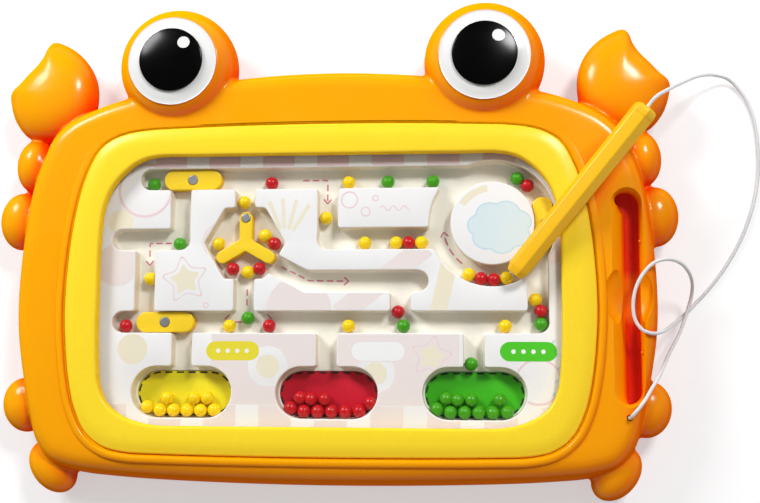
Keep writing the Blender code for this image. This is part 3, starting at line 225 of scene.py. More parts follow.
# Pen store and pen
SLOT_WIDTH = 0.0120
SLOT_LENGTH = 0.0947
SLOT_DEPTH = 0.0120
SLOT_SLOPE = 0.0064
SLOPE_END_GAP = 0.0030
SLOPE_FADE = 0.0050
SLOT_ROUND = 0.0016
SLOT_FLARE = 0.0012
SLOT_LIP = 0.0022
SLOT_INSET = 0.0149
SLOT_DROP_SHARE = -0.0556
SCOOP_RADII = (0.0110, 0.0140, 0.0080)
NUB_RADIUS = 0.0010
NUB_PLACE_SHARE = 0.52
ANCHOR_STEP = 0.0055
ANCHOR_OFFSET = 0.0010
ANCHOR_HOLE_RADIUS = 0.0013
PEN_LENGTH = 0.0920
PEN_RADIUS = 0.00577
PEN_TWIST = -18.0
PEN_TIP = (0.08443, -0.01350, 0.03096)
PEN_ALONG = (0.62121, 0.76713, 0.16001)
PEN_UP = (-0.1007, -0.12435, 0.98712)
PEN_CORNER_SHARE = 0.10
PEN_CAP_LENGTH = 0.0045
PEN_NOSE = [(0.0, 0.62), (0.0002, 0.67), (0.0006, 0.705), (0.0030, 0.885), (0.0036, 0.902), (0.0050, 0.905)]
PEN_TAIL = [(0.0, 0.985), (0.0003, 1.0), (0.0022, 0.985), (0.0034, 0.93), (0.0040, 0.84), (0.0044, 0.70),
            (0.0045, 0.52)]
TETHER_RADIUS = 0.0008
TETHER_SPACING = 0.0048
TETHER_ROUTE = [
    (0.1336, -0.0762, 0.0245), (0.1336, -0.0762, 0.0280), (0.1337, -0.0761, 0.0315),
    (0.1348, -0.0745, 0.0342), (0.1372, -0.0716, 0.0348), (0.1400, -0.0680, 0.0335),
    (0.1432, -0.0635, 0.0305), (0.1472, -0.0580, 0.0262), (0.1529, -0.0484, 0.0190),
    (0.1593, -0.0383, 0.0120), (0.1633, -0.0291, 0.0086), (0.1651, -0.0225, 0.0098),
    (0.1648, -0.0168, 0.0148), (0.1620, -0.0120, 0.0216), (0.1571, -0.0084, 0.0277),
    (0.1512, -0.0072, 0.0311), (0.1455, -0.0087, 0.0320), (0.1405, -0.0136, 0.0319),
    (0.1371, -0.0203, 0.0316), (0.1359, -0.0275, 0.0314), (0.1367, -0.0338, 0.0314),
    (0.1395, -0.0380, 0.0315), (0.1437, -0.0396, 0.0306), (0.1488, -0.0389, 0.0261),
    (0.1550, -0.0356, 0.0156), (0.1625, -0.0305, 0.0048), (0.1690, -0.0243, 0.0015),
    (0.1750, -0.0180, 0.0011), (0.1831, -0.0073, 0.0011), (0.1908, 0.0062, 0.0011),
    (0.1963, 0.0212, 0.0011), (0.1990, 0.0353, 0.0011), (0.1994, 0.0477, 0.0011),
    (0.1980, 0.0610, 0.0011), (0.1940, 0.0724, 0.0013), (0.1872, 0.0802, 0.0030),
    (0.1790, 0.0812, 0.0090), (0.1700, 0.0782, 0.0190), (0.1602, 0.0720, 0.0320),
    (0.1515, 0.0659, 0.0424)]

# Tones of the moulded plastic: the direction its painted light comes from, the reach of its painted shade in
# creases, and its grain's bump step
PAINTED_LIGHT_SIDE = (-0.50, 0.62, 0.60)
CREASE_SHADE_REACH = 0.011
GRAIN_STEP = 0.00005

# Lamps: place, size and the setting that holds the power
LAMPS = {"key_lamp": ((0.50, 0.62, 0.95), 0.24, "key_power"),
         "left_lamp": ((-0.66, 0.65, 0.64), 0.34, "left_power")}
FLOOR_REACH = 3.0
FLOOR_GLOW = 0.46
WALL_TOP = 0.02
CEILING_START = 0.42

# Screws
SCREW_HEAD = 0.0021
SCREW_SHANK = 0.0014
SCREW_BORE = 0.0017
SCREW_SEAT = 0.0040
SCREW_CROSS = (0.0007, 0.0011)
SCREW_PLACE_SHARES = [(-0.789, 0.847), (0.789, 0.847), (-0.803, 0.087), (0.803, 0.087)]

# Places that follow from the sizes above and from the frame
BEZEL_LOW = BODY_LOW + BEZEL_RISE
WINDOW_LOW = BEZEL_LOW + WINDOW_RISE
BEZEL_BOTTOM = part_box("bezel")[0].z
BEZEL_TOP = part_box("bezel")[1].z
WINDOW_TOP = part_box("window")[1].z
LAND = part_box("maze_tray")[1].z
FLOOR = LAND - CHANNEL_DEPTH
SLOT_X = BODY_WIDTH / 2 - SLOT_INSET
SLOT_Y = BODY_LOW + BODY_DEPTH * (1 / 2 + SLOT_DROP_SHARE)


class BoardSizes(bpy.types.PropertyGroup):
    """Sizes of the dressed board."""
    voxel: FloatProperty(
        name="Case mesh size", description="Size of the mesh faces on the case",
        default=0.0008, min=0.0004, unit="LENGTH")
    case_fillet: IntProperty(
        name="Case fillet", description="Rounds of smoothing where eyes, claws and legs meet the case",
        default=3, min=0)
    land_round: FloatProperty(
        name="Maze edge", description="Round on the maze's upper edges",
        default=LAND_ROUND, min=0.0001, unit="LENGTH")
    floor_round: FloatProperty(
        name="Maze fillet", description="Fillet at the foot of the maze's walls",
        default=FLOOR_ROUND, min=0.0001, unit="LENGTH")
    curve_steps: IntProperty(
        name="Arc steps", description="Steps in each half circle of the maze", default=20, min=4)


def colour_property(name, description, default):
    """A colour that a user may change."""
    return FloatVectorProperty(name=name, description=description, default=default,
                               subtype="COLOR", size=3, min=0.0, max=1.0)


class BoardColours(bpy.types.PropertyGroup):
    """Colours of the dressed board."""
    case: colour_property("Case", "Orange of the moulded case", (1.0, 0.400, 0.0))
    bezel: colour_property("Bezel", "Yellow of the frame round the window", (1.0, 0.725, 0.026))
    tray: colour_property("Tray", "Off-white of the maze tray", (0.890, 0.885, 0.885))
    gate: colour_property("Gates", "Yellow of the sliders and the rotor", (1.0, 0.680, 0.020))
    pen: colour_property("Pen", "Yellow of the pen", (0.940, 0.520, 0.010))
    steel: colour_property("Slugs", "Grey of the steel slugs", (0.430, 0.430, 0.440))
    red: colour_property("Red", "Red of the balls", (0.560, 0.006, 0.012))
    green: colour_property("Green", "Green of the balls", (0.055, 0.360, 0.005))
    yellow: colour_property("Yellow", "Yellow of the balls", (1.0, 0.690, 0.001))
    floor_red: colour_property("Red floor", "Red of a pocket's floor", (0.600, 0.002, 0.022))
    floor_green: colour_property("Green floor", "Green of a pocket's floor", (0.050, 0.500, 0.004))
    floor_yellow: colour_property("Yellow floor", "Yellow of a pocket's floor", (0.860, 0.760, 0.012))
    print_pink: colour_property("Pink print", "Pink of the printed arrows", (0.660, 0.190, 0.310))
    print_rose: colour_property("Rose print", "Rose of the printed chequers", (0.800, 0.620, 0.650))
    print_blush: colour_property("Blush print", "Blush lines of the printed shapes", (0.840, 0.640, 0.670))
    print_pale: colour_property("Pale print", "Faint pink wash on the lands", (0.850, 0.765, 0.745))
    print_cream: colour_property("Cream print", "Pale cream shapes", (0.860, 0.800, 0.620))
    print_blue: colour_property("Blue print", "Pale blue of the printed shape", (0.690, 0.810, 0.850))
    print_sky: colour_property("Sky print", "Blue line round the pale shape", (0.520, 0.720, 0.830))
    label_white: colour_property("White label", "White of a blank label", (0.900, 0.900, 0.900))
    label_yellow: colour_property("Yellow label", "Yellow of a blank label", (0.830, 0.720, 0.030))
    label_green: colour_property("Green label", "Green of a blank label", (0.070, 0.590, 0.012))


class BoardLook(bpy.types.PropertyGroup):
    """Camera and lamps."""
    camera_place: FloatVectorProperty(
        name="Camera", description="Where the camera stands", default=(0.06698, -0.0575, 0.5),
        subtype="TRANSLATION", size=3)
    camera_aim: FloatVectorProperty(
        name="Aim", description="What the camera looks at", default=(0.02467, -0.00308, 0.030),
        subtype="TRANSLATION", size=3)
    camera_roll: FloatProperty(
        name="Roll", description="Turn of the camera about its view", default=math.radians(0.2956),
        subtype="ANGLE")
    lens: FloatProperty(name="Lens", description="Focal length in millimetres", default=50.0)
    key_power: FloatProperty(
        name="Key lamp", description="Power of the lamp at the upper right", default=8.1, unit="POWER")
    left_power: FloatProperty(
        name="Left lamp", description="Power of the wide lamp at the upper left", default=8.4, unit="POWER")
    ceiling_mirror: FloatProperty(
        name="Ceiling mirrored", description="How bright glossy pieces mirror the ceiling", default=0.09)
    ceiling_light: FloatProperty(
        name="Ceiling light", description="How brightly the ceiling lights the board", default=0.24)
    wall_light: FloatProperty(
        name="Wall light", description="How brightly the white walls light the board", default=0.70)


def smooth_points(points, steps, closed=True):
    """Points along a smooth curve through the given points, spaced by the square root of length."""
    count = len(points)
    spans = count if closed else count - 1
    result = []
    for k in range(spans):
        if closed:
            four = [points[(k + j) % count] for j in (-1, 0, 1, 2)]
        else:
            before = points[k - 1] if k else points[0] * 2 - points[1]
            after = points[k + 2] if k + 2 < count else points[-1] * 2 - points[-2]
            four = [before, points[k], points[k + 1], after]
        result += [between(four, step / steps) for step in range(steps)]
    if not closed:
        result.append(points[-1])
    return result


def between(four, part):
    """A point part way between the middle two of four points, on a smooth curve."""
    knots = [0.0]
    for a, b in zip(four, four[1:]):
        knots.append(knots[-1] + math.sqrt(max((b - a).length, MERGE)))
    at = knots[1] + (knots[2] - knots[1]) * part

    def mix(a, b, low, high):
        return a.lerp(b, (at - low) / (high - low))

    first = [mix(four[j], four[j + 1], knots[j], knots[j + 1]) for j in range(3)]
    second = [mix(first[j], first[j + 1], knots[j], knots[j + 2]) for j in range(2)]
    return mix(second[0], second[1], knots[1], knots[2])


def evenly(loop, spacing):
    """A closed outline resampled at an even spacing."""
    size = len(loop)
    lengths = [0.0]
    for k in range(size):
        lengths.append(lengths[-1] + (loop[(k + 1) % size] - loop[k]).length)
    count = max(int(round(lengths[-1] / spacing)), 12)
    result = []
    k = 0
    for j in range(count):
        target = lengths[-1] * j / count
        while lengths[k + 1] < target:
            k += 1
        part = (target - lengths[k]) / max(lengths[k + 1] - lengths[k], MERGE)
        result.append(loop[k].lerp(loop[(k + 1) % size], part))
    return result


def share_outline(shares, width, low, depth, spacing=0.0016):
    """A mirrored outline from its half's shares, anticlockwise from the top middle."""
    left = [Vector((-x * width / 2, low + y * depth)) for x, y in shares]
    right = [Vector((-p.x, p.y)) for p in reversed(left[1:-1])]
    return evenly(smooth_points(left + right, 12), spacing)


def grown(loop, distance):
    """An anticlockwise outline moved outwards along its normals."""
    size = len(loop)
    result = []
    for k in range(size):
        along = (loop[(k + 1) % size] - loop[k - 1]).normalized()
        result.append(loop[k] + Vector((along.y, -along.x)) * distance)
    return result


def capsule(start, end, width, steps):
    """A straight channel's outline with round ends."""
    along = (end - start).normalized()
    result = []
    for centre, turn in ((end, -math.pi / 2), (start, math.pi / 2)):
        for step in range(steps + 1):
            angle = turn + math.pi * step / steps
            result.append(centre + Matrix.Rotation(angle, 2) @ along * width / 2)
    return result


def polar(centre, radius, angle):
    """A place at a radius and angle from a centre."""
    return centre + Vector((math.cos(angle), math.sin(angle))) * radius


def circle(centre, radius, count):
    """A round outline."""
    return [polar(centre, radius, 2 * math.pi * k / count) for k in range(count)]


def ring_sector(centre, inner, outer, start, end, steps):
    """A curved block's outline along a ring, with round ends."""
    middle, half = (inner + outer) / 2, (outer - inner) / 2
    shares = [k / steps for k in range(steps + 1)]
    loop = [polar(centre, outer, start + (end - start) * t) for t in shares]
    loop += [polar(polar(centre, middle, end), half, end + math.pi * t) for t in shares[1:-1]]
    loop += [polar(centre, inner, end + (start - end) * t) for t in shares]
    back = start + math.pi
    loop += [polar(polar(centre, middle, start), half, back + math.pi * t) for t in shares[1:-1]]
    return loop


def maze_point(across, up):
    """A place in the maze from its shares of the window's half width and depth."""
    return Vector((across * WINDOW_WIDTH / 2, WINDOW_LOW + up * WINDOW_DEPTH))


def rotor_hub():
    """The middle of the rotor's chamber."""
    return maze_point(COLUMN_SHARES["rotor"], ROTOR_ROW_SHARE)


def body_point(across, up):
    """A place on the case from its shares of the body's half width and depth."""
    return Vector((across * BODY_WIDTH / 2, BODY_LOW + up * BODY_DEPTH))


def eye_centre(side):
    """The middle of one eye, from its white's box."""
    low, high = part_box("left_eye_white" if side < 0 else "right_eye_white")
    return Vector(((low.x + high.x) / 2, (low.y + high.y) / 2))


def item_of(name, mesh):
    """A named object for a mesh."""
    item = bpy.data.objects.new(name, mesh)
    bpy.context.scene.collection.objects.link(item)
    return item


def solid(name, verts, faces):
    """A mesh object from its corners and faces, with its normals outwards."""
    mesh = bpy.data.meshes.new(name)
    mesh.from_pydata([tuple(v) for v in verts], [], faces)
    work = bmesh.new()
    work.from_mesh(mesh)
    bmesh.ops.recalc_face_normals(work, faces=work.faces)
    work.to_mesh(mesh)
    work.free()
    return item_of(name, mesh)


def quarter(steps):
    """One less the cosine and the sine, at steps round a quarter circle."""
    angles = [math.pi / 2 * k / steps for k in range(steps + 1)]
    return [(1 - math.cos(angle), 1 - math.sin(angle)) for angle in angles]


def at_height(loop, height):
    """A flat outline lifted to a height."""
    return [Vector((p.x, p.y, height)) for p in loop]


def loft(name, rings, closed=False):
    """Rings of equal count joined in turn, capped at both ends or closed into a tube."""
    count = len(rings[0])
    verts = [point for ring in rings for point in ring]
    faces = []
    last = len(rings) if closed else len(rings) - 1
    for r in range(last):
        low, high = r * count, (r + 1) % len(rings) * count
        for k in range(count):
            n = (k + 1) % count
            faces.append((low + k, low + n, high + n, high + k))
    if not closed:
        faces.append(tuple(reversed(range(count))))
        faces.append(tuple(range(len(verts) - count, len(verts))))
    return solid(name, verts, faces)


def prism(name, loop, low, high):
    """A flat outline made into a block between two heights."""
    return loft(name, [at_height(loop, low), at_height(loop, high)])


def pillow_block(name, loop, low, high, edge):
    """A block with its upper edge rounded and its lower edge eased."""
    rings = [at_height(grown(loop, -edge / 3), low), at_height(loop, low + edge / 3)]
    rings += [at_height(grown(loop, -edge * across), high - edge * down) for across, down in quarter(4)]
    return loft(name, rings)


def turned(name, profile, centre, segments):
    """A turned solid from (radius, height) points whose ends lie on its axis."""
    verts = [Vector((centre.x, centre.y, profile[0][1])), Vector((centre.x, centre.y, profile[-1][1]))]
    rings = profile[1:-1]
    for radius, height in rings:
        verts += at_height(circle(centre, radius, segments), height)
    faces = []
    for k in range(segments):
        n = (k + 1) % segments
        faces.append((0, 2 + n, 2 + k))
        top = 2 + (len(rings) - 1) * segments
        faces.append((1, top + k, top + n))
        for r in range(len(rings) - 1):
            low, high = 2 + r * segments, 2 + (r + 1) * segments
            faces.append((low + k, low + n, high + n, high + k))
    return solid(name, verts, faces)


def ellipsoid(name, centre, radii, lean=0.0, segments=48, rings=24):
    """An ellipsoid turned about the vertical by its lean, in degrees."""
    work = bmesh.new()
    bmesh.ops.create_uvsphere(work, u_segments=segments, v_segments=rings, radius=1.0)
    place = Matrix.Translation(centre) @ Matrix.Rotation(math.radians(lean), 4, "Z")
    work.transform(place @ Matrix.Diagonal((*radii, 1.0)))
    mesh = bpy.data.meshes.new(name)
    work.to_mesh(mesh)
    work.free()
    return item_of(name, mesh)


def baked(item):
    """Apply an object's modifiers to its mesh."""
    bpy.context.view_layer.update()
    evaluated = item.evaluated_get(bpy.context.evaluated_depsgraph_get())
    mesh = bpy.data.meshes.new_from_object(evaluated)
    item.modifiers.clear()
    item.data = mesh
    return item


def merged(name, items):
    """Several objects' meshes in one object, with the first one's finishes."""
    work = bmesh.new()
    mesh = bpy.data.meshes.new(name)
    for finish in items[0].data.materials:
        mesh.materials.append(finish)
    for item in items:
        work.from_mesh(item.data)
        bpy.data.objects.remove(item)
    work.to_mesh(mesh)
    work.free()
    return item_of(name, mesh)


def cut(target, tool, operation="DIFFERENCE"):
    """Apply a Boolean to the target and remove the tool."""
    modifier = target.modifiers.new("cut", "BOOLEAN")
    modifier.operation = operation
    modifier.object = tool
    modifier.material_mode = "TRANSFER" if tool.data.materials else "INDEX"
    baked(target)
    bpy.data.objects.remove(tool)
    return target


def sliced(item, height, keep_above):
    """Keep one side of a level cut and close it."""
    work = bmesh.new()
    work.from_mesh(item.data)
    geometry = work.verts[:] + work.edges[:] + work.faces[:]
    up = (0.0, 0.0, 1.0)
    result = bmesh.ops.bisect_plane(work, geom=geometry, plane_co=(0.0, 0.0, height), plane_no=up,
                                    clear_inner=keep_above, clear_outer=not keep_above)
    rim = [e for e in result["geom_cut"] if isinstance(e, bmesh.types.BMEdge)]
    bmesh.ops.triangle_fill(work, use_beauty=True, use_dissolve=True, edges=rim, normal=up)
    bmesh.ops.recalc_face_normals(work, faces=work.faces)
    work.to_mesh(item.data)
    work.free()
    return item


def shade(item, angle=35.0):
    """Smooth shading with crisp edges past an angle."""
    item.data.shade_smooth()
    item.data.set_sharp_from_angle(angle=math.radians(angle))
    return item


def dress(item, body, finish, slot, *nodes):
    """Give a finished piece its material, the body it rides on and the CAD nodes it stands for."""
    if len(item.data.materials) < 2:
        item.data.materials.clear()
        item.data.materials.append(finish)
    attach(item, body)
    if nodes:
        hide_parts(*nodes)
    return item


def dress_node(node, finish):
    """Give a CAD node that stays a better material."""
    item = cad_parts[node]
    item.data.materials.clear()
    item.data.materials.append(finish)


class Nodes:
    """A node tree, with short ways to add and join nodes."""

    def __init__(self, tree):
        self.tree = tree
        spots = tree.nodes.new("ShaderNodeTexCoord").outputs
        self.place, self.normal, self.around = spots["Object"], spots["Normal"], spots["Generated"]

    def join(self, value, socket):
        """Link an output to a socket, or type a value into it."""
        if isinstance(value, bpy.types.NodeSocket):
            self.tree.links.new(value, socket)
        else:
            socket.default_value = value

    def add(self, kind, settings=None, **inputs):
        """A node with its settings and input values or links."""
        node = self.tree.nodes.new(kind)
        for key, value in (settings or {}).items():
            setattr(node, key, value)
        for key, value in inputs.items():
            self.join(value, node.inputs[key.replace("_", " ")])
        return node

    def noise(self, scale, detail=2.0):
        """A noise value over the piece."""
        return self.add("ShaderNodeTexNoise", Vector=self.place, Scale=scale, Detail=detail).outputs["Fac"]

    def blend(self, factor, first, second):
        """Two colours mixed by a factor."""
        node = self.add("ShaderNodeMix", {"data_type": "RGBA"})
        self.join(factor, node.inputs[0])
        for socket, value in ((node.inputs[6], first), (node.inputs[7], second)):
            self.join(value if isinstance(value, bpy.types.NodeSocket) else (*value, 1.0), socket)
        return node.outputs[2]

    def spread(self, value, low, high, new_low=0.0, new_high=1.0):
        """A value moved from one range to another."""
        return self.add("ShaderNodeMapRange", Value=value, From_Min=low, From_Max=high,
                        To_Min=new_low, To_Max=new_high).outputs["Result"]

    def math(self, operation, first, second=0.0):
        """Two numbers joined by a sum."""
        node = self.add("ShaderNodeMath", {"operation": operation})
        self.join(first, node.inputs[0])
        self.join(second, node.inputs[1])
        return node.outputs[0]

    def along(self, axis):
        """How far along an axis a point of the piece lies."""
        return self.add("ShaderNodeSeparateXYZ", Vector=self.place).outputs[axis]

    def seen(self):
        """One for the rays that show a thing, straight, mirrored or through a clear piece, else nought."""
        rays = self.add("ShaderNodeLightPath").outputs
        direct = self.math("MAXIMUM", rays["Is Camera Ray"], rays["Is Glossy Ray"])
        return self.math("MAXIMUM", direct, rays["Is Transmission Ray"])


class Finish(Nodes):
    """A new material with its shader."""

    def __init__(self, name):
        self.material = bpy.data.materials.new(name)
        self.material.use_nodes = True
        super().__init__(self.material.node_tree)
        self.shader = self.tree.nodes["Principled BSDF"]

    def bump(self, height, strength, distance=GRAIN_STEP):
        """Feed a height into the shader's normal."""
        node = self.add("ShaderNodeBump", Height=height, Strength=strength, Distance=distance)
        self.join(node.outputs["Normal"], self.shader.inputs["Normal"])

    def set(self, **values):
        """Set or link the shader's own sockets."""
        for key, value in values.items():
            self.join(value, self.shader.inputs[key.replace("_", " ")])


def tinted(colour, share, green=1.0):
    """A colour made darker or lighter by a share, and warmer by less green."""
    return tuple(min(c * share * k, 1.0) for c, k in zip(colour, (1.0, green, 1.0)))


def plastic(name, colour, roughness, depth, grain, gloss, deep=None, shine=0.35, side=None, shade_creases=False):
    """Moulded plastic: slow changes of tone, a fine eggshell skin and a clear gloss.

    deep is (colour, height where it is reached, height where it starts) for painted shade that darkens
    the plastic towards its foot, side the redder colour of painted shade where its swellings turn from
    the painted light and on the board's right, and the last flag paints redder shade where pieces meet.
    """
    nodes = Finish(name)
    slow = nodes.spread(nodes.noise(14.0, 3.0), 0.3, 0.7)
    tone = nodes.blend(slow, tinted(colour, 1.0 - depth), tinted(colour, 1.0 + depth))
    # painted shade: where the surface turns from the painted light, and towards the board's right, the
    # plastic takes the redder side colour
    if side:
        facing_painted_light = nodes.add("ShaderNodeVectorMath", {"operation": "DOT_PRODUCT"})
        nodes.join(nodes.normal, facing_painted_light.inputs[0])
        nodes.join(PAINTED_LIGHT_SIDE, facing_painted_light.inputs[1])
        lean = nodes.math("SUBTRACT", nodes.spread(facing_painted_light.outputs["Value"], -0.25, 0.66),
                          nodes.spread(nodes.along("X"), -0.02, 0.15, 0.0, 0.18))
        tone = nodes.blend(nodes.spread(lean, 0.0, 1.0), side, tone)
    # painted shade: the plastic turns to the darker foot colour towards its foot
    if deep:
        tone = nodes.blend(nodes.spread(nodes.along("Z"), deep[1], deep[2]), deep[0], tone)
    # painted shade: the plastic turns redder where ambient occlusion finds creases and joins
    if shade_creases:
        crease = nodes.add("ShaderNodeAmbientOcclusion", {"samples": 6}, Distance=CREASE_SHADE_REACH).outputs["AO"]
        tone = nodes.blend(nodes.spread(crease, 0.42, 0.94), tinted(side, 0.98, 0.30), tone)
    rough = nodes.spread(nodes.noise(60.0), 0.3, 0.7, roughness - 0.03, roughness + 0.04)
    facing = nodes.add("ShaderNodeLayerWeight", Blend=0.5).outputs["Facing"]
    nodes.set(Base_Color=tone, Roughness=rough, Coat_Weight=gloss, Coat_Roughness=0.05, IOR=1.5,
              Specular_IOR_Level=nodes.spread(facing, 0.15, 0.48, shine, 0.0))
    nodes.bump(nodes.noise(grain, 1.0), 0.08)
    return nodes.material


def store_plastic(name, colour):
    """The pen store: orange walls round a floor painted deep red as the recess's shade, the painted shade
    fading under the finger scoops.
    """
    nodes = Finish(name)
    run = nodes.math("ABSOLUTE", nodes.math("ADD", nodes.along("Y"), -SLOT_Y))
    # painted shade: the floor turns deep red away from the scoops
    floor = nodes.blend(nodes.spread(run, 0.0075, 0.0125),
                        tinted(colour, 0.92, 0.42), tinted(colour, 0.78, 0.062))
    wall = nodes.blend(nodes.spread(nodes.noise(14.0, 3.0), 0.3, 0.7),
                       tinted(colour, 0.97, 0.84), tinted(colour, 1.0, 0.88))
    # painted shade: below the lip the orange walls give way to the painted red floor
    tone = nodes.blend(nodes.spread(nodes.along("Z"), 0.0190, 0.0240), floor, wall)
    nodes.set(Base_Color=tone, Roughness=nodes.spread(nodes.noise(60.0), 0.3, 0.7, 0.30, 0.38),
              Specular_IOR_Level=0.22)
    nodes.bump(nodes.noise(700.0, 1.0), 0.08)
    return nodes.material


def tray_plastic(name, colour):
    """The tray: white lands, walls painted a warmer, darker brown as shade, and cream channel floors."""
    nodes = Finish(name)
    height = nodes.along("Z")
    slow = nodes.spread(nodes.noise(16.0, 2.0), 0.35, 0.65)
    cream = nodes.blend(slow, (0.890, 0.875, 0.780), (0.920, 0.905, 0.815))
    # painted shade: the channel walls take a warm brown
    wall = nodes.blend(slow, (0.850, 0.745, 0.610), (0.880, 0.775, 0.650))
    land = nodes.blend(slow, tinted(colour, 0.985), tinted(colour, 1.015))
    low = nodes.blend(nodes.spread(height, FLOOR + FLOOR_ROUND / 4, FLOOR + 4 * FLOOR_ROUND), cream, wall)
    tone = nodes.blend(nodes.spread(height, LAND - 2 * LAND_ROUND, LAND - LAND_ROUND / 8), low, land)
    rough = nodes.spread(nodes.noise(60.0), 0.3, 0.7, 0.42, 0.5)
    nodes.set(Base_Color=tone, Roughness=rough, Specular_IOR_Level=0.3, Coat_Weight=0.05, Coat_Roughness=0.2)
    nodes.bump(nodes.noise(500.0, 1.0), 0.08)
    return nodes.material


def steel(name, colour):
    """Turned steel: fine rings of machining under a dull shine."""
    nodes = Finish(name)
    rings = nodes.add("ShaderNodeTexWave", {"wave_type": "RINGS", "rings_direction": "Z"},
                      Vector=nodes.place, Scale=420.0, Distortion=1.5).outputs["Fac"]
    nodes.set(Base_Color=nodes.blend(rings, tinted(colour, 0.9), tinted(colour, 1.15)), Metallic=0.85,
              Roughness=nodes.spread(nodes.noise(300.0), 0.3, 0.7, 0.34, 0.5))
    nodes.bump(rings, 0.15)
    return nodes.material


def paint_ball(name, colour):
    """Lacquered steel ball: bright colour with a hard gloss."""
    nodes = Finish(name)
    spots = nodes.noise(160.0, 2.0)
    tone = nodes.blend(nodes.spread(spots, 0.35, 0.65), tinted(colour, 0.98), tinted(colour, 1.02))
    nodes.set(Base_Color=tone, Roughness=nodes.spread(spots, 0.3, 0.7, 0.27, 0.30), Coat_Weight=0.10,
              Coat_Roughness=0.08, Specular_IOR_Level=0.34)
    nodes.bump(nodes.noise(900.0), 0.015, 0.00002)
    return nodes.material


def window_film(name):
    """Clear sheet: nearly all see-through, with a gloss and a few fine scuffs."""
    nodes = Finish(name)
    scuffs = nodes.noise(180.0, 4.0)
    nodes.set(Base_Color=nodes.blend(scuffs, (0.10, 0.105, 0.11), (0.22, 0.225, 0.23)), Alpha=0.012, IOR=1.3,
              Roughness=nodes.spread(scuffs, 0.4, 0.7, 0.02, 0.10), Coat_Weight=0.3, Coat_Roughness=0.02)
    return nodes.material


def nylon(name):
    """Milky nylon line: pale grey, smooth and a little see-through."""
    nodes = Finish(name)
    slow = nodes.noise(60.0, 1.0)
    nodes.set(Base_Color=nodes.blend(slow, (0.78, 0.79, 0.80), (0.86, 0.87, 0.88)), Transmission_Weight=0.12,
              Roughness=nodes.spread(slow, 0.3, 0.7, 0.34, 0.42), IOR=1.5)
    return nodes.material


def settings():
    """The scene's own sizes, colours and look."""
    scene = bpy.context.scene
    return scene.board_sizes, scene.board_colours, scene.board_look


FINISHES = {}


def material(key):
    """One of the board's materials, made when first asked for."""
    if key not in FINISHES:
        FINISHES[key] = new_material(key)
    return FINISHES[key]


def new_material(key):
    """A material from its kind, its colour and the numbers of its kind."""
    colours = settings()[1]
    case, bezel, gate = colours.case, colours.bezel, colours.gate
    plastics = {
        # the case gets painted shade: darker towards its foot, redder on the side turned from the painted
        # light and in its creases
        "orange_plastic": (case, 0.20, 0.03, 700.0, 0.02, (tinted(case, 0.86, 0.38), -0.006, 0.024), 0.32,
                           tinted(case, 0.92, 0.48), True),
        # the collar gets painted shade on the side turned from the painted light
        "collar_plastic": (case, 0.20, 0.03, 700.0, 0.02, None, 0.32, tinted(case, 0.92, 0.60)),
        # painted light: the groove's orange is made yellower than the case to offset the shade inside it
        "groove_plastic": (tinted(case, 1.0, 1.30), 0.24, 0.03, 700.0, 0.02, None, 0.2),
        # the bezel gets painted shade on the side turned from the painted light
        "bezel_plastic": (bezel, 0.26, 0.004, 700.0, 0.0, None, 0.28, tinted(bezel, 0.96, 0.84)),
        # the gates get painted shade, darker and more orange towards their foot
        "gate_plastic": (gate, 0.36, 0.03, 900.0, 0.15, (tinted(gate, 0.85, 0.62), 0.0165, 0.0215)),
        "pen_plastic": (colours.pen, 0.34, 0.03, 700.0, 0.2),
        "white_plastic": ((0.82, 0.82, 0.81), 0.18, 0.01, 900.0, 0.3, None, 0.45),
        "black_plastic": ((0.0005, 0.0005, 0.0006), 0.17, 0.3, 900.0, 0.0, None, 0.26),
        "black_print": ((0.020, 0.018, 0.016), 0.5, 0.2, 900.0, 0.0),
        "red_floor": (colours.floor_red, 0.45, 0.04, 500.0, 0.1),
        "green_floor": (colours.floor_green, 0.45, 0.04, 500.0, 0.1),
        "yellow_floor": (colours.floor_yellow, 0.45, 0.04, 500.0, 0.1),
    }
    others = {
        "store_plastic": (store_plastic, case),
        "tray_plastic": (tray_plastic, colours.tray),
        "slug_steel": (steel, colours.steel),
        "screw_steel": (steel, (0.50, 0.50, 0.52)),
        "red_lacquer": (paint_ball, colours.red),
        "green_lacquer": (paint_ball, colours.green),
        "yellow_lacquer": (paint_ball, colours.yellow),
        "window_film": (window_film,),
        "nylon_line": (nylon,),
    }
    if key in plastics:
        colour, *numbers = plastics[key]
        return plastic(key, tuple(colour), *numbers)
    if key in others:
        kind, *colour = others[key]
        return kind(key, *(tuple(c) for c in colour))
    return plastic(key, tuple(getattr(colours, key)), 0.5, 0.03, 500.0, 0.0)


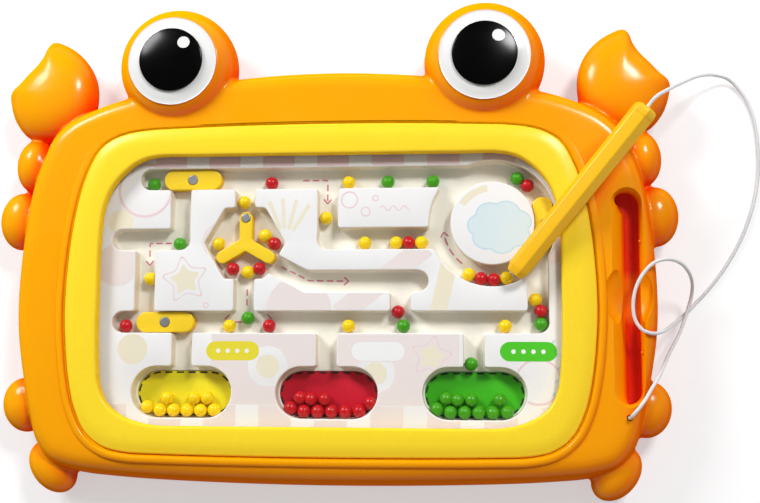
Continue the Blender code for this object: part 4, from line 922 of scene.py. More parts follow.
def body_outer():
    """The case's whole outer form: body, eye balls, claws and legs run into each other."""
    sizes = settings()[0]
    outline = [Vector((p.x * (LEFT_FLANK_SHARE if p.x < 0 else 1.0), p.y))
               for p in share_outline(BODY_OUTLINE_SHARES, BODY_WIDTH, BODY_LOW, BODY_DEPTH)]
    rings = []
    for share in smooth_points([Vector(p) for p in BODY_SECTION_SHARES], 4, closed=False):
        ring = at_height(grown(outline, -share.x * SHOULDER_WIDTH), share.y * BODY_HEIGHT)
        up = max(0.0, share.y - FALL_FOOT_SHARE) / (1 - FALL_FOOT_SHARE)
        for point, foot in zip(ring, outline):
            low = max(0.0, min(1.0, (BODY_LOW + FALL_START - foot.y) / FALL_SPAN))
            point.z -= LOWER_FALL * low * (1 - share.x) ** 2 * up
        rings.append(ring)
    forms = [loft("body", rings)]
    legs = list(zip(LEG_PLACE_SHARES, LEG_HALF_LENGTHS, LEG_HALF_WIDTHS, LEG_LEANS))
    for side in (-1, 1):
        forms += [eye_ball(eye_centre(side)), claw(side)]
        for place, length, width, lean in legs:
            point = body_point(side * place[0], place[1])
            radii = (width, length, LEG_HALF_THICKNESS)
            forms.append(ellipsoid("leg", (point.x, point.y, LEG_HEIGHT), radii, side * lean))
    whole = merged("case_form", forms)
    remesh = whole.modifiers.new("skin", "REMESH")
    remesh.mode = "VOXEL"
    remesh.voxel_size = sizes.voxel * 1.0
    remesh.adaptivity = 0.0
    smooth = whole.modifiers.new("fillet", "SMOOTH")
    smooth.factor = 0.5
    smooth.iterations = sizes.case_fillet
    return baked(whole)


def eye_ball(centre):
    """A ball with a flat foot and a flat seat for the eye, its shoulder rounded."""
    profile = [(0.0, 0.0)]
    low = math.asin(-EYE_CENTRE_HEIGHT / EYE_RADIUS)
    for k in range(20):
        angle = low * (1 - k / 20)
        profile.append((EYE_RADIUS * math.cos(angle), EYE_CENTRE_HEIGHT + EYE_RADIUS * math.sin(angle)))
    rise = EYE_SEAT_HEIGHT - EYE_CENTRE_HEIGHT
    crown = rise / (1 - (EYE_SEAT_RADIUS / EYE_RADIUS) ** EYE_POWER) ** (1 / EYE_POWER)
    for k in range(25):
        up = rise * math.sin(math.pi / 2 * k / 24)
        radius = EYE_RADIUS * (1 - (up / crown) ** EYE_POWER) ** (1 / EYE_POWER)
        profile.append((radius, EYE_CENTRE_HEIGHT + up))
    profile.append((0.0, EYE_SEAT_HEIGHT))
    return turned("eye_ball", profile, centre, 96)


def claw(side):
    """A claw as a swollen shape with two points."""
    centre = body_point(side * CLAW_PLACE_SHARES[0], CLAW_PLACE_SHARES[1])
    outline = smooth_points([Vector((side * x, y)) for x, y in CLAW_OUTLINE_SHARES], 6)
    section = smooth_points([Vector(p) for p in CLAW_SECTION_SHARES], 4, closed=False)
    rings = []
    for share in section:
        pull = (1 - share.x) ** 0.5 * CLAW_ROUND_SHARE
        loop = [centre + (p * share.x).lerp(p.normalized() * CLAW_CORE_SHARE * share.x, pull) * CLAW_REACH
                for p in outline]
        rings.append(at_height(loop, CLAW_MID_HEIGHT + share.y * CLAW_HALF_HEIGHT))
    return loft("claw", rings)


def slot_outline(growth, steps=24):
    """The pen store's outline, grown outwards."""
    half = (SLOT_LENGTH - SLOT_WIDTH) / 2
    start, end = Vector((SLOT_X, SLOT_Y - half)), Vector((SLOT_X, SLOT_Y + half))
    result = []
    loop = capsule(start, end, SLOT_WIDTH + 2 * growth, steps)
    for a, b in zip(loop, loop[1:] + loop[:1]):
        parts = 20 if (b - a).length > SLOT_WIDTH else 1
        result += [a.lerp(b, k / parts) for k in range(parts)]
    return result


def bezel_outline(growth=0.0):
    """The bezel's outer edge, grown outwards."""
    return grown(share_outline(BEZEL_OUTLINE_SHARES, BEZEL_WIDTH, BEZEL_LOW, BEZEL_DEPTH), growth)


def window_outline(growth=0.0):
    """The window opening, grown outwards."""
    return grown(share_outline(WINDOW_OUTLINE_SHARES, WINDOW_WIDTH, WINDOW_LOW, WINDOW_DEPTH), growth)


def anchor_point():
    """Where the tether comes out of the case."""
    return Vector((SLOT_X - ANCHOR_OFFSET, SLOT_Y - SLOT_LENGTH / 2 - ANCHOR_STEP))


def sloped(loop, height):
    """The pen store's outline at a height, drawn in at its left side towards the floor."""
    inset = SLOT_SLOPE * (BODY_HEIGHT - height) / SLOT_DEPTH
    end = SLOT_Y + SLOT_LENGTH / 2 - SLOPE_END_GAP
    result = []
    for p in loop:
        share = max(0.0, (SLOT_X - p.x) / (SLOT_WIDTH / 2)) * min(1.0, max(0.0, (end - p.y) / SLOPE_FADE))
        result.append(Vector((p.x + inset * share, p.y, height)))
    return result


def case_cutters():
    """The bezel's seat with its eased edge, the maze's well, the pen store and the anchor hole."""
    above = BODY_HEIGHT + OVERRUN
    seat = loft("seat", [at_height(bezel_outline(growth), height) for growth, height in (
        (GAP, WINDOW_TOP), (GAP, BODY_HEIGHT - 0.0014), (SEAT_GROOVE - 0.0002, BODY_HEIGHT - 0.0012),
        (SEAT_GROOVE, BODY_HEIGHT - 0.0009), (SEAT_GROOVE + 0.0001, BODY_HEIGHT - 0.0002),
        (SEAT_GROOVE + 0.0004, BODY_HEIGHT), (SEAT_GROOVE + 0.0004, above))])
    cut(seat, prism("well", window_outline(WELL_MARGIN), PARTING_HEIGHT - OVERRUN, BODY_HEIGHT), "UNION")
    low = BODY_HEIGHT - SLOT_DEPTH
    rings = [sloped(slot_outline(-SLOT_ROUND * across), low + SLOT_ROUND * up) for up, across in quarter(6)]
    rings.append(sloped(slot_outline(0.0), BODY_HEIGHT - SLOT_LIP))
    rings += [at_height(slot_outline(SLOT_FLARE), height) for height in (BODY_HEIGHT, above)]
    store = loft("store", rings)
    cut(store, ellipsoid("scoop", (SLOT_X, SLOT_Y, BODY_HEIGHT), SCOOP_RADII, 0.0, 64, 32), "UNION")
    hole = prism("hole", circle(anchor_point(), ANCHOR_HOLE_RADIUS, 24), BODY_HEIGHT - 2 * OVERRUN, above)
    for index, item in enumerate((hole, store, seat)):
        item.data.materials.clear()
        for key in ("orange_plastic", "store_plastic", "groove_plastic"):
            item.data.materials.append(material(key))
        for face in item.data.polygons:
            face.material_index = index
    return merged("cutters", [seat, store, hole])


def screw_cutters():
    """The recesses and clearance holes for the screws in the back."""
    items = []
    for k, place in enumerate(SCREW_PLACE_SHARES):
        low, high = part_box(f"rear_screw_{k + 1}")
        radius = (high.x - low.x) / 2 + GAP
        profile = [(0.0, -OVERRUN), (radius, -OVERRUN), (radius, SCREW_SEAT), (SCREW_BORE, SCREW_SEAT),
                   (SCREW_BORE, BODY_HEIGHT), (0.0, BODY_HEIGHT)]
        items.append(turned("recess", profile, body_point(*place), 40))
    return merged("screw_cutters", items)


def collar():
    """The raised bead round the bezel, highest at the bottom and gone at the top."""
    inner = bezel_outline(SEAT_GROOVE)
    profile = [(1.0, -1.2), (1.0, -0.15), (0.93, 0.35), (0.75, 0.75), (0.5, 0.95), (0.2, 1.0),
               (0.06, 0.85), (0.0, 0.4), (0.0, -1.2)]
    rings = []
    for share, up in profile:
        ring = []
        for foot, point in zip(inner, grown(inner, share * COLLAR_WIDTH)):
            drop = 1 - (foot.y - BEZEL_LOW) / BEZEL_DEPTH
            rise = COLLAR_RISE * min(1.0, max(0.0, drop * 1.6))
            ring.append(Vector((point.x, point.y, BODY_HEIGHT - 0.0001 + rise * up)))
        rings.append(ring)
    return loft("bezel_collar", rings, closed=True)


class MAZEBOARD_OT_case(bpy.types.Operator):
    """Make the two halves of the orange case with the collar round the bezel"""
    bl_idname = "mazeboard.case"
    bl_label = "Case"

    def execute(self, context):
        orange = material("orange_plastic")
        rear = body_outer()
        front = item_of("housing_front", rear.data.copy())
        front.data.materials.append(orange)
        rear.name = "housing_rear"
        cut(front, case_cutters())
        cut(rear, screw_cutters())
        cut(rear, prism("well", window_outline(WELL_MARGIN), WELL_FLOOR, PARTING_HEIGHT + OVERRUN))
        sliced(front, PARTING_HEIGHT + GAP / 2, True)
        sliced(rear, PARTING_HEIGHT - GAP / 2, False)
        sliced(rear, HAIR, True)
        nubs = []
        for sign in (-1, 1):
            place = (SLOT_X + SLOT_WIDTH / 2, SLOT_Y + sign * NUB_PLACE_SHARE * SLOT_LENGTH / 2,
                     BODY_HEIGHT - SLOT_DEPTH / 3)
            nubs.append(ellipsoid("nub", place, (NUB_RADIUS,) * 3, 0.0, 16, 8))
        dress(shade(merged("store_nubs", nubs)), "case", orange, "case_orange")
        dress(shade(front), "case", orange, "case_orange", "front_housing")
        dress(shade(rear), "case", orange, "case_orange", "rear_cover")
        dress(shade(collar(), 60.0), "case", material("collar_plastic"), "case_orange")
        return {"FINISHED"}


class MAZEBOARD_OT_bezel(bpy.types.Operator):
    """Make the yellow bezel and the clear window under it"""
    bl_idname = "mazeboard.bezel"
    bl_label = "Bezel and window"

    def execute(self, context):
        # the two outlines get the same count of points, matched by their share of the length
        outer, inner = (evenly(loop, 0.0001 + length_round(loop) / BEZEL_POINTS)[:BEZEL_POINTS]
                        for loop in (bezel_outline(), window_outline()))
        size = min(len(outer), len(inner))
        outer, inner = outer[:size], inner[:size]
        rings = [at_height(outer, BEZEL_BOTTOM)]
        for across, down in quarter(5):
            rings.append(at_height(grown(outer, -BEZEL_EDGE * across),
                                   BEZEL_TOP - BEZEL_FALL - BEZEL_EDGE * down))
        for share in (k / 7 for k in range(1, 8)):
            rings.append(at_height(grown(outer, -BEZEL_EDGE - (BEZEL_SPAN - BEZEL_EDGE) * share),
                                   BEZEL_TOP - BEZEL_FALL * (1 - share) ** 2))
        rings.append(at_height(grown(inner, BEZEL_LIP), BEZEL_TOP))
        for down, across in quarter(5):
            rings.append(at_height(grown(inner, BEZEL_EDGE * across), BEZEL_TOP - 0.0001 - BEZEL_EDGE * down))
        rings.append(at_height(inner, BEZEL_BOTTOM))
        bezel = loft("bezel_frame", rings, closed=True)
        dress(shade(bezel, 50.0), "case", material("bezel_plastic"), "bezel_yellow", "bezel")
        low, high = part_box("window")
        pane = pillow_block("window_pane", window_outline(WINDOW_MARGIN), low.z, high.z, 0.0002)
        dress(shade(pane), "case", material("window_film"), "window_clear", "window")
        return {"FINISHED"}


def length_round(loop):
    """The length round a closed outline."""
    return sum((loop[k] - loop[k - 1]).length for k in range(len(loop)))


def slider_place(row):
    """The middle of the slider in a row."""
    return maze_point(SLIDER_SHARES[row], ROW_SHARES[row])


def row_start(row):
    """Where a row starts, a set way past its slider's left end."""
    return slider_place(row) - Vector((SLIDER_LENGTH / 2 + ROW_END_LENGTH, 0.0))


def channel_outlines(steps):
    """Outlines of the straight channels, the rotor's chamber and the pockets."""

    def crossing(column, row):
        return maze_point(COLUMN_SHARES[column], ROW_SHARES[row])

    right = crossing("right", "lower")
    slot_start, slot_end = (maze_point(share, ROW_SHARES["slot"]) for share in SLOT_ROW_END_SHARES)
    wide = [
        (row_start("top"), maze_point(TOP_ROW_END_SHARE, ROW_SHARES["top"])),
        (maze_point(UPPER_LEFT_END_SHARE, ROW_SHARES["upper"]), crossing("first", "upper")),
        (crossing("middle", "upper"), maze_point(UPPER_RIGHT_END_SHARE, ROW_SHARES["upper"])),
        (slot_start, slot_end),
        (row_start("lower"), right)]
    narrow = [(crossing(column, low), crossing(column, high)) for column, low, high in (
        ("first", "upper", "top"), ("second", "lower", "upper"), ("rotor", "lower", "top"),
        ("middle", "upper", "top"), ("link", "lower", "slot"))]
    narrow += [(maze_point(*CHUTE_START_SHARES), slot_start),
               (right, Vector((right.x, maze_point(*RING_PLACE_SHARES).y)))]
    narrow += [(maze_point(COLUMN_SHARES[pocket], POCKET_ROW_SHARE), crossing(pocket, "lower"))
               for pocket in POCKET_COLUMN_SHARES]
    loops = [capsule(a, b, CHANNEL_WIDTH, steps) for a, b in wide]
    loops += [capsule(a, b, COLUMN_WIDTH, steps) for a, b in narrow]
    loops.append(circle(rotor_hub(), CHAMBER_RADIUS / math.cos(math.pi / 6), 6))
    loops += [pocket_outline(name, 0.0, steps) for name in POCKET_COLUMN_SHARES]
    return loops


def pocket_outline(name, growth, steps):
    """A ball pocket's outline, grown outwards."""
    centre = maze_point(POCKET_COLUMN_SHARES[name], POCKET_ROW_SHARE)
    half = Vector(((POCKET_WIDTH - POCKET_DEPTH) / 2, 0.0))
    reach = Vector((POCKET_REACH, 0.0))
    return capsule(centre - half - reach, centre + half, POCKET_DEPTH + 2 * growth, steps)


def liner_outline(name, growth, steps):
    """A coloured floor's outline, which leaves a ledge along its upper edge."""
    lowest = maze_point(0.0, POCKET_ROW_SHARE).y - POCKET_DEPTH / 2
    result = []
    for point in pocket_outline(name, growth, steps):
        share = max(0.0, (point.y - lowest) / POCKET_DEPTH)
        result.append(Vector((point.x, point.y - LINER_LEDGE * share)))
    return result


def triangulated(loops):
    """Points and triangles between outlines, and the outlines that hold each triangle."""
    points, faces = [], []
    for loop in loops:
        faces.append(list(range(len(points), len(points) + len(loop))))
        points += loop
    found = delaunay_2d_cdt(points, [], faces, 1, 0.0000001, True)
    return [Vector((p[0], p[1])) for p in found[0]], found[2], found[5]


def union_loops(steps):
    """The boundary of all channels together, with the lands on the left of each outline."""
    hub = maze_point(*RING_PLACE_SHARES)
    ring, island = circle(hub, RING_OUTER_RADIUS, 8 * steps), circle(hub, ISLAND_RADIUS, 6 * steps)
    verts, triangles, holders = triangulated([window_outline(WINDOW_MARGIN), ring, island]
                                             + channel_outlines(steps))
    sides = {}
    for triangle, held in zip(triangles, holders):
        is_open = 2 not in held and (1 in held or any(i >= 3 for i in held))
        size = len(triangle)
        for k in range(size):
            sides[(triangle[k], triangle[(k + 1) % size])] = is_open
    following = {a: b for (a, b), is_open in sides.items() if not is_open and sides.get((b, a))}
    result = []
    while following:
        first, here = following.popitem()
        loop = [verts[first]]
        while here != first:
            loop.append(verts[here])
            here = following.pop(here)
        result.append(loop)
    return result


def eased(loop, spacing, rounds):
    """An outline resampled evenly, with its corners rounded a little."""
    points = evenly(loop, spacing)
    size = len(points)
    for _ in range(rounds):
        points = [(points[k - 1] + points[k] * 2 + points[(k + 1) % size]) / 4 for k in range(size)]
    return points


def turn_sum(loop):
    """Twice an outline's area, positive when it runs anticlockwise."""
    return sum(loop[k - 1].x * loop[k].y - loop[k].x * loop[k - 1].y for k in range(len(loop)))


def level_faces(loops, keep):
    """Flat triangles between outlines, kept by a test of the outlines that hold each one."""
    points, triangles, holders = triangulated([loop if turn_sum(loop) > 0 else loop[::-1] for loop in loops])
    return points, [tuple(triangle) for triangle, held in zip(triangles, holders) if keep(set(held))]


class Shell:
    """A closed mesh put together from level faces and walls."""

    def __init__(self):
        self.verts = []
        self.faces = []

    def level(self, flat, height, triangles):
        """Add level faces."""
        start = len(self.verts)
        self.verts.extend(Vector((p.x, p.y, height)) for p in flat)
        self.faces.extend(tuple(start + k for k in triangle) for triangle in triangles)

    def wall(self, rings):
        """Add a band of faces through rings of equal count."""
        start = len(self.verts)
        count = len(rings[0])
        for ring in rings:
            self.verts.extend(ring)
        for r in range(len(rings) - 1):
            low, high = start + r * count, start + (r + 1) * count
            for k in range(count):
                n = (k + 1) % count
                self.faces.append((low + k, low + n, high + n, high + k))

    def item(self, name):
        """The welded object."""
        result = solid(name, self.verts, self.faces)
        work = bmesh.new()
        work.from_mesh(result.data)
        bmesh.ops.remove_doubles(work, verts=work.verts, dist=2 * MERGE)
        bmesh.ops.recalc_face_normals(work, faces=work.faces)
        work.to_mesh(result.data)
        work.free()
        return result


def maze_edges(sizes):
    """The maze's wall outlines, their tops on the lands and their feet on the channel floor."""
    loops = [eased(loop, 0.0006, 4) for loop in union_loops(sizes.curve_steps)]
    tops = [grown(loop, -sizes.land_round) for loop in loops]
    feet = [grown(loop, sizes.floor_round) for loop in loops]
    return loops, tops, feet


def build_tray(sizes):
    """The maze tray with rounded lands, filleted channel floors and a recess in each pocket."""
    loops, tops, feet = maze_edges(sizes)
    outer = evenly(window_outline(WINDOW_MARGIN), 0.0025)
    shell = Shell()
    r, f = sizes.land_round, sizes.floor_round
    for loop in loops:
        rings = [at_height(grown(loop, -r * across), LAND - r * down) for down, across in quarter(4)]
        rings += [at_height(grown(loop, f * across), FLOOR + f * up) for across, up in quarter(3)]
        shell.wall(rings)
    flat, kept = level_faces([outer] + tops, lambda held: len(held) % 2 == 1)
    shell.level(flat, LAND, kept)
    recesses = [evenly(liner_outline(name, -sizes.floor_round / 2, sizes.curve_steps), 0.0015)
                for name in POCKET_COLUMN_SHARES]
    last = len(recesses) + 1

    def on_floor(held):
        return 0 in held and not any(0 < k < last for k in held) and sum(k >= last for k in held) % 2 == 1

    flat, kept = level_faces([outer] + recesses + feet, on_floor)
    shell.level(flat, FLOOR, kept)
    for recess in recesses:
        shell.wall([at_height(recess, FLOOR), at_height(recess, FLOOR - POCKET_RECESS)])
        flat, kept = level_faces([recess], bool)
        shell.level(flat, FLOOR - POCKET_RECESS, kept)
    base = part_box("maze_tray")[0].z
    shell.wall([at_height(outer, LAND), at_height(outer, base)])
    flat, kept = level_faces([outer], bool)
    shell.level(flat, base, kept)
    return shell.item("tray_moulding")


def plate(name, flat, triangles, low, high):
    """Level faces made into a thin closed plate."""
    used = sorted({k for triangle in triangles for k in triangle})
    new = {k: n for n, k in enumerate(used)}
    size = len(used)
    verts = [Vector((flat[k].x, flat[k].y, low)) for k in used]
    verts += [Vector((flat[k].x, flat[k].y, high)) for k in used]
    faces = []
    sides = set()
    for triangle in triangles:
        a, b, c = (new[k] for k in triangle)
        faces.append((a + size, b + size, c + size))
        faces.append((c, b, a))
        sides |= {(a, b), (b, c), (c, a)}
    faces += [(a, b, b + size, a + size) for a, b in sides if (b, a) not in sides]
    return solid(name, verts, faces)


class MAZEBOARD_OT_tray(bpy.types.Operator):
    """Make the white maze tray and the coloured floors of its pockets"""
    bl_idname = "mazeboard.tray"
    bl_label = "Maze tray"

    def execute(self, context):
        sizes = settings()[0]
        tray = build_tray(sizes)
        dress(shade(tray, 40.0), "case", material("tray_plastic"), "tray_white", "maze_tray")
        for name in POCKET_COLUMN_SHARES:
            low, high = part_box(f"pocket_floor_{name}")
            liner = pillow_block(f"pocket_liner_{name}", liner_outline(name, -2 * GAP, sizes.curve_steps),
                                 low.z, high.z, 0.0003)
            dress(shade(liner), "case", material(f"{name}_floor"), f"floor_{name}", f"pocket_floor_{name}")
        return {"FINISHED"}


def stroke(path, width):
    """The outline of a line drawn along an open path."""
    left, right = [], []
    for k, point in enumerate(path):
        along = (path[min(k + 1, len(path) - 1)] - path[max(k - 1, 0)]).normalized()
        aside = Vector((along.y, -along.x)) * width / 2
        right.append(point + aside)
        left.append(point - aside)
    return right + left[::-1]


def arc(centre, radius, start, end, steps=24):
    """Points along an arc, its angles in degrees."""
    return [polar(centre, radius, math.radians(start + (end - start) * k / steps)) for k in range(steps + 1)]


def starfish(centre, radius, turn):
    """A soft five-armed outline."""
    points = []
    for k in range(10):
        reach = radius if k % 2 == 0 else radius * 0.58
        points.append(polar(centre, reach, math.radians(turn + 36.0 * k)))
    return eased(smooth_points(points, 8), 0.0004, 8)


def scallop(centre, width, depth, bumps, turn):
    """An oval outline with a scalloped edge."""
    loop = []
    for k in range(168):
        angle = 2 * math.pi * k / 168
        swell = 0.97 + 0.16 * abs(math.sin(bumps * angle / 2 + turn)) ** 0.8
        loop.append(centre + Vector((width * math.cos(angle), depth * math.sin(angle))) * swell)
    return loop


def box_outline(left, low, right, high):
    """A rectangle's outline."""
    return [Vector(corner) for corner in ((left, low), (right, low), (right, high), (left, high))]


def label_outline(name, growth=0.0):
    """The outline of the blank label by a pocket."""
    low, high = LABELS[name]
    centre = Vector(((low + high) / 2, (LABEL_LOW + LABEL_HIGH) / 2))
    half = Vector(((high - low - LABEL_HIGH + LABEL_LOW) / 2, 0.0))
    return capsule(centre - half, centre + half, LABEL_HIGH - LABEL_LOW + 2 * growth, 12)


def chequers():
    """The chequered strips along the upper and lower edges of the tray."""
    result = []
    for k in range(-3, 8):
        left = CHEQUER_START + k * CHEQUER_PITCH
        for colour, (low, high) in CHEQUER_ROWS.items():
            result.append((colour, [box_outline(left, low, left + CHEQUER_WIDTH, high)], []))
    return result


def discs(*rows):
    """Round outlines from their (x, y, radius, count of points)."""
    return [circle(Vector((x, y)), radius, count) for x, y, radius, count in rows]


def band(start, end, width):
    """A straight band's outline."""
    return stroke([Vector(start), Vector(end)], width)


def washes():
    """Faint bands and discs on the lands."""
    return [
        ("print_pale", [box_outline(-0.0530, -0.0718, 0.0600, -0.0385)],
         discs((-0.0268, -0.0545, 0.0092, 48), (0.0225, -0.0575, 0.0088, 48))),
        ("print_cream", discs((-0.0268, -0.0545, 0.0053, 40), (0.0225, -0.0575, 0.0050, 40)), []),
        ("print_pale", [band((0.0450, 0.0000), (0.0060, -0.0310), 0.0100)], []),
        ("print_cream", [band((0.0570, -0.0020), (0.0500, -0.0320), 0.0075)], []),
        ("print_pale", discs((-0.0500, 0.0030, 0.0085, 48), (-0.0130, -0.0290, 0.0150, 60)), []),
        ("print_pale", discs((-0.0985, -0.0080, 0.0100, 48), (0.1000, 0.0000, 0.0090, 48)), []),
        ("print_cream", discs((-0.0975, 0.0120, 0.0060, 40), (-0.0900, -0.0470, 0.0070, 40)), [])]


def sea_shapes():
    """Thin-lined starfish, bubbles and a shell fan, and the pale shape on the ring's island."""
    result = []
    for x, y, radius, turn in ((-0.0660, -0.0150, 0.0112, 100.0), (0.0475, -0.0500, 0.0098, 80.0)):
        centre = Vector((x, y))
        inner = starfish(centre, radius * 0.93, turn)
        result.append(("print_blush", [starfish(centre, radius, turn)], [inner]))
        result.append(("print_cream", [starfish(centre, radius * 0.66, turn)], []))
    for x, y, radius in ((0.0100, 0.0215, 0.0040), (0.0175, 0.0160, 0.0023), (0.0220, 0.0222, 0.0015),
                         (-0.0860, 0.0270, 0.0130), (0.0950, -0.0610, 0.0105), (-0.0560, -0.0268, 0.0014)):
        inner = radius - (0.0004 + radius * 0.06)
        result.append(("print_blush", discs((x, y, radius, 60)), discs((x, y, inner, 60))))
    root = Vector((-0.0195, 0.0020))
    for turn in (58.0, 76.0, 94.0, 112.0):
        rib = [polar(root, reach, math.radians(turn)) for reach in (0.0065, 0.0205)]
        result.append(("print_cream", [stroke(rib, 0.0017)], []))
    wave = [Vector((0.0240 + 0.0006 * k, 0.0175 + 0.0011 * math.sin(k * 0.75))) for k in range(24)]
    result.append(("print_blush", [stroke(wave, 0.0005)], []))
    pale = scallop(Vector((0.0785, 0.0085)), 0.0128, 0.0106, 7, 0.4)
    result.append(("print_blue", [pale], []))
    result.append(("print_sky", [grown(pale, 0.00035)], [grown(pale, -0.00025)]))
    crescent = arc(maze_point(*RING_PLACE_SHARES), 0.0160, 98.0, 148.0)
    result.append(("print_cream", [stroke(crescent, 0.0030)], []))
    for k in range(7):
        x, y = 0.1035 - 0.0012 * abs(k - 2), -0.0440 - 0.0058 * k
        result.append(("print_sky", [band((x, y), (x + 0.0012, y + 0.0014), 0.0009)], []))
    return result


def labels():
    """The blank labels by the pockets, two of them with a row of dots."""
    result = [("print_rose", [label_outline("red", 0.0002)], []), ("label_white", [label_outline("red")], [])]
    for name in ("yellow", "green"):
        middle = sum(LABELS[name]) / 2
        result.append((f"label_{name}", [label_outline(name)], []))
        for k in range(4):
            place = Vector((middle + (k - 3 / 2) * LABEL_DOT_PITCH, (LABEL_LOW + LABEL_HIGH) / 2))
            result.append(("label_white", [circle(place, LABEL_DOT_RADIUS, 24)], []))
    return result


def dashes(path, rhythm, width=MARK_WIDTH):
    """Short strokes along a path, from the lengths of a dash and a gap."""
    dash, gap = rhythm
    lengths = [0.0]
    for a, b in zip(path, path[1:]):
        lengths.append(lengths[-1] + (b - a).length)

    def at(distance):
        k = 0
        while k < len(path) - 2 and lengths[k + 1] < distance:
            k += 1
        return path[k].lerp(path[k + 1], (distance - lengths[k]) / (lengths[k + 1] - lengths[k]))

    result = []
    start = 0.0
    while start + dash <= lengths[-1] + HAIR:
        result.append(stroke([at(start + dash * k / 4) for k in range(5)], width))
        start += dash + gap
    return result


def arrow_head(path):
    """Two strokes that meet at the end of an arrow's path."""
    tip = path[-1]
    back = (tip - path[-2]).normalized() * ARROW_HEAD
    return [stroke([tip + Matrix.Rotation(math.radians(turn), 2) @ back, tip], MARK_WIDTH)
            for turn in (-140.0, 140.0)]


def channel_marks():
    """Dashed arrows on the channel floor."""
    middle = (RING_OUTER_RADIUS + ISLAND_RADIUS) / 2 - 0.0015
    arrows = [([Vector(p) for p in path], ARROW_DASH) for path in ARROWS]
    arrows.append((arc(maze_point(*RING_PLACE_SHARES), middle, 232.0, 188.0), SWEEP_DASH))
    result = []
    for path, rhythm in arrows:
        result += dashes(path, rhythm) + arrow_head(path)
    for path in PLAIN_DASHES:
        result += dashes([Vector(p) for p in path], PLAIN_DASH)
    return result


class MAZEBOARD_OT_prints(bpy.types.Operator):
    """Print the lands, the channel arrows and the dashes round the pockets"""
    bl_idname = "mazeboard.prints"
    bl_label = "Prints"

    def execute(self, context):
        sizes = settings()[0]
        self.lands(sizes)
        marks = channel_marks()
        flat, kept = level_faces(marks, bool)
        arrows = plate("printed_arrows", flat, kept, FLOOR - HAIR / 2, FLOOR + HAIR)
        dress(arrows, "case", material("print_pink"), "tray_white")
        for name in POCKET_COLUMN_SHARES:
            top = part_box(f"pocket_floor_{name}")[1].z
            path = evenly(liner_outline(name, -2 * GAP - 0.0008, sizes.curve_steps), 0.0005)
            flat, kept = level_faces(dashes(path + path[:1], POCKET_DASH, POCKET_MARK_WIDTH), bool)
            ring = plate(f"printed_dashes_{name}", flat, kept, top - HAIR / 2, top + HAIR)
            dress(ring, "case", material("black_print"), "eye_black")
        return {"FINISHED"}

    def lands(self, sizes):
        """Everything printed on the lands, cut where the channels are."""
        tops = maze_edges(sizes)[1]
        prints = chequers() + washes() + sea_shapes() + labels()
        loops = [evenly(window_outline(WINDOW_MARGIN - GAP), 0.0025)] + tops
        lands = len(loops)
        rows = []
        for colour, outlines, holes in prints:
            first = len(loops)
            loops += outlines
            middle = len(loops)
            loops += holes
            rows.append((colour, first, middle, len(loops)))

        def colour_at(held):
            if 0 not in held or sum(k < lands for k in held) % 2 == 0:
                return None
            found = None
            for colour, first, middle, last in rows:
                if any(first <= k < middle for k in held) and not any(middle <= k < last for k in held):
                    found = colour
            return found

        groups, order = {}, []

        def keep(held):
            groups.setdefault(colour_at(held), []).append(len(order))
            order.append(held)
            return True

        flat, triangles = level_faces(loops, keep)
        for colour, members in groups.items():
            if colour:
                chosen = [triangles[k] for k in members]
                item = plate(f"printed_{colour[6:]}", flat, chosen, LAND - HAIR / 2, LAND + HAIR)
                dress(item, "case", material(colour), "tray_white")


def slug(name, centre, node, body):
    """A steel slug with its edge broken."""
    low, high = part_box(node)
    radius = (high.x - low.x) / 2
    edge = SLUG_ROUND
    profile = [(0.0, low.z), (radius, low.z), (radius, high.z - edge),
               (radius - edge * 0.3, high.z - edge * 0.3), (radius - edge, high.z),
               (radius - 1.3 * edge, high.z), (0.0, high.z)]
    item = turned(name, profile, centre, 48)
    return dress(shade(item), body, material("slug_steel"), "steel", node)


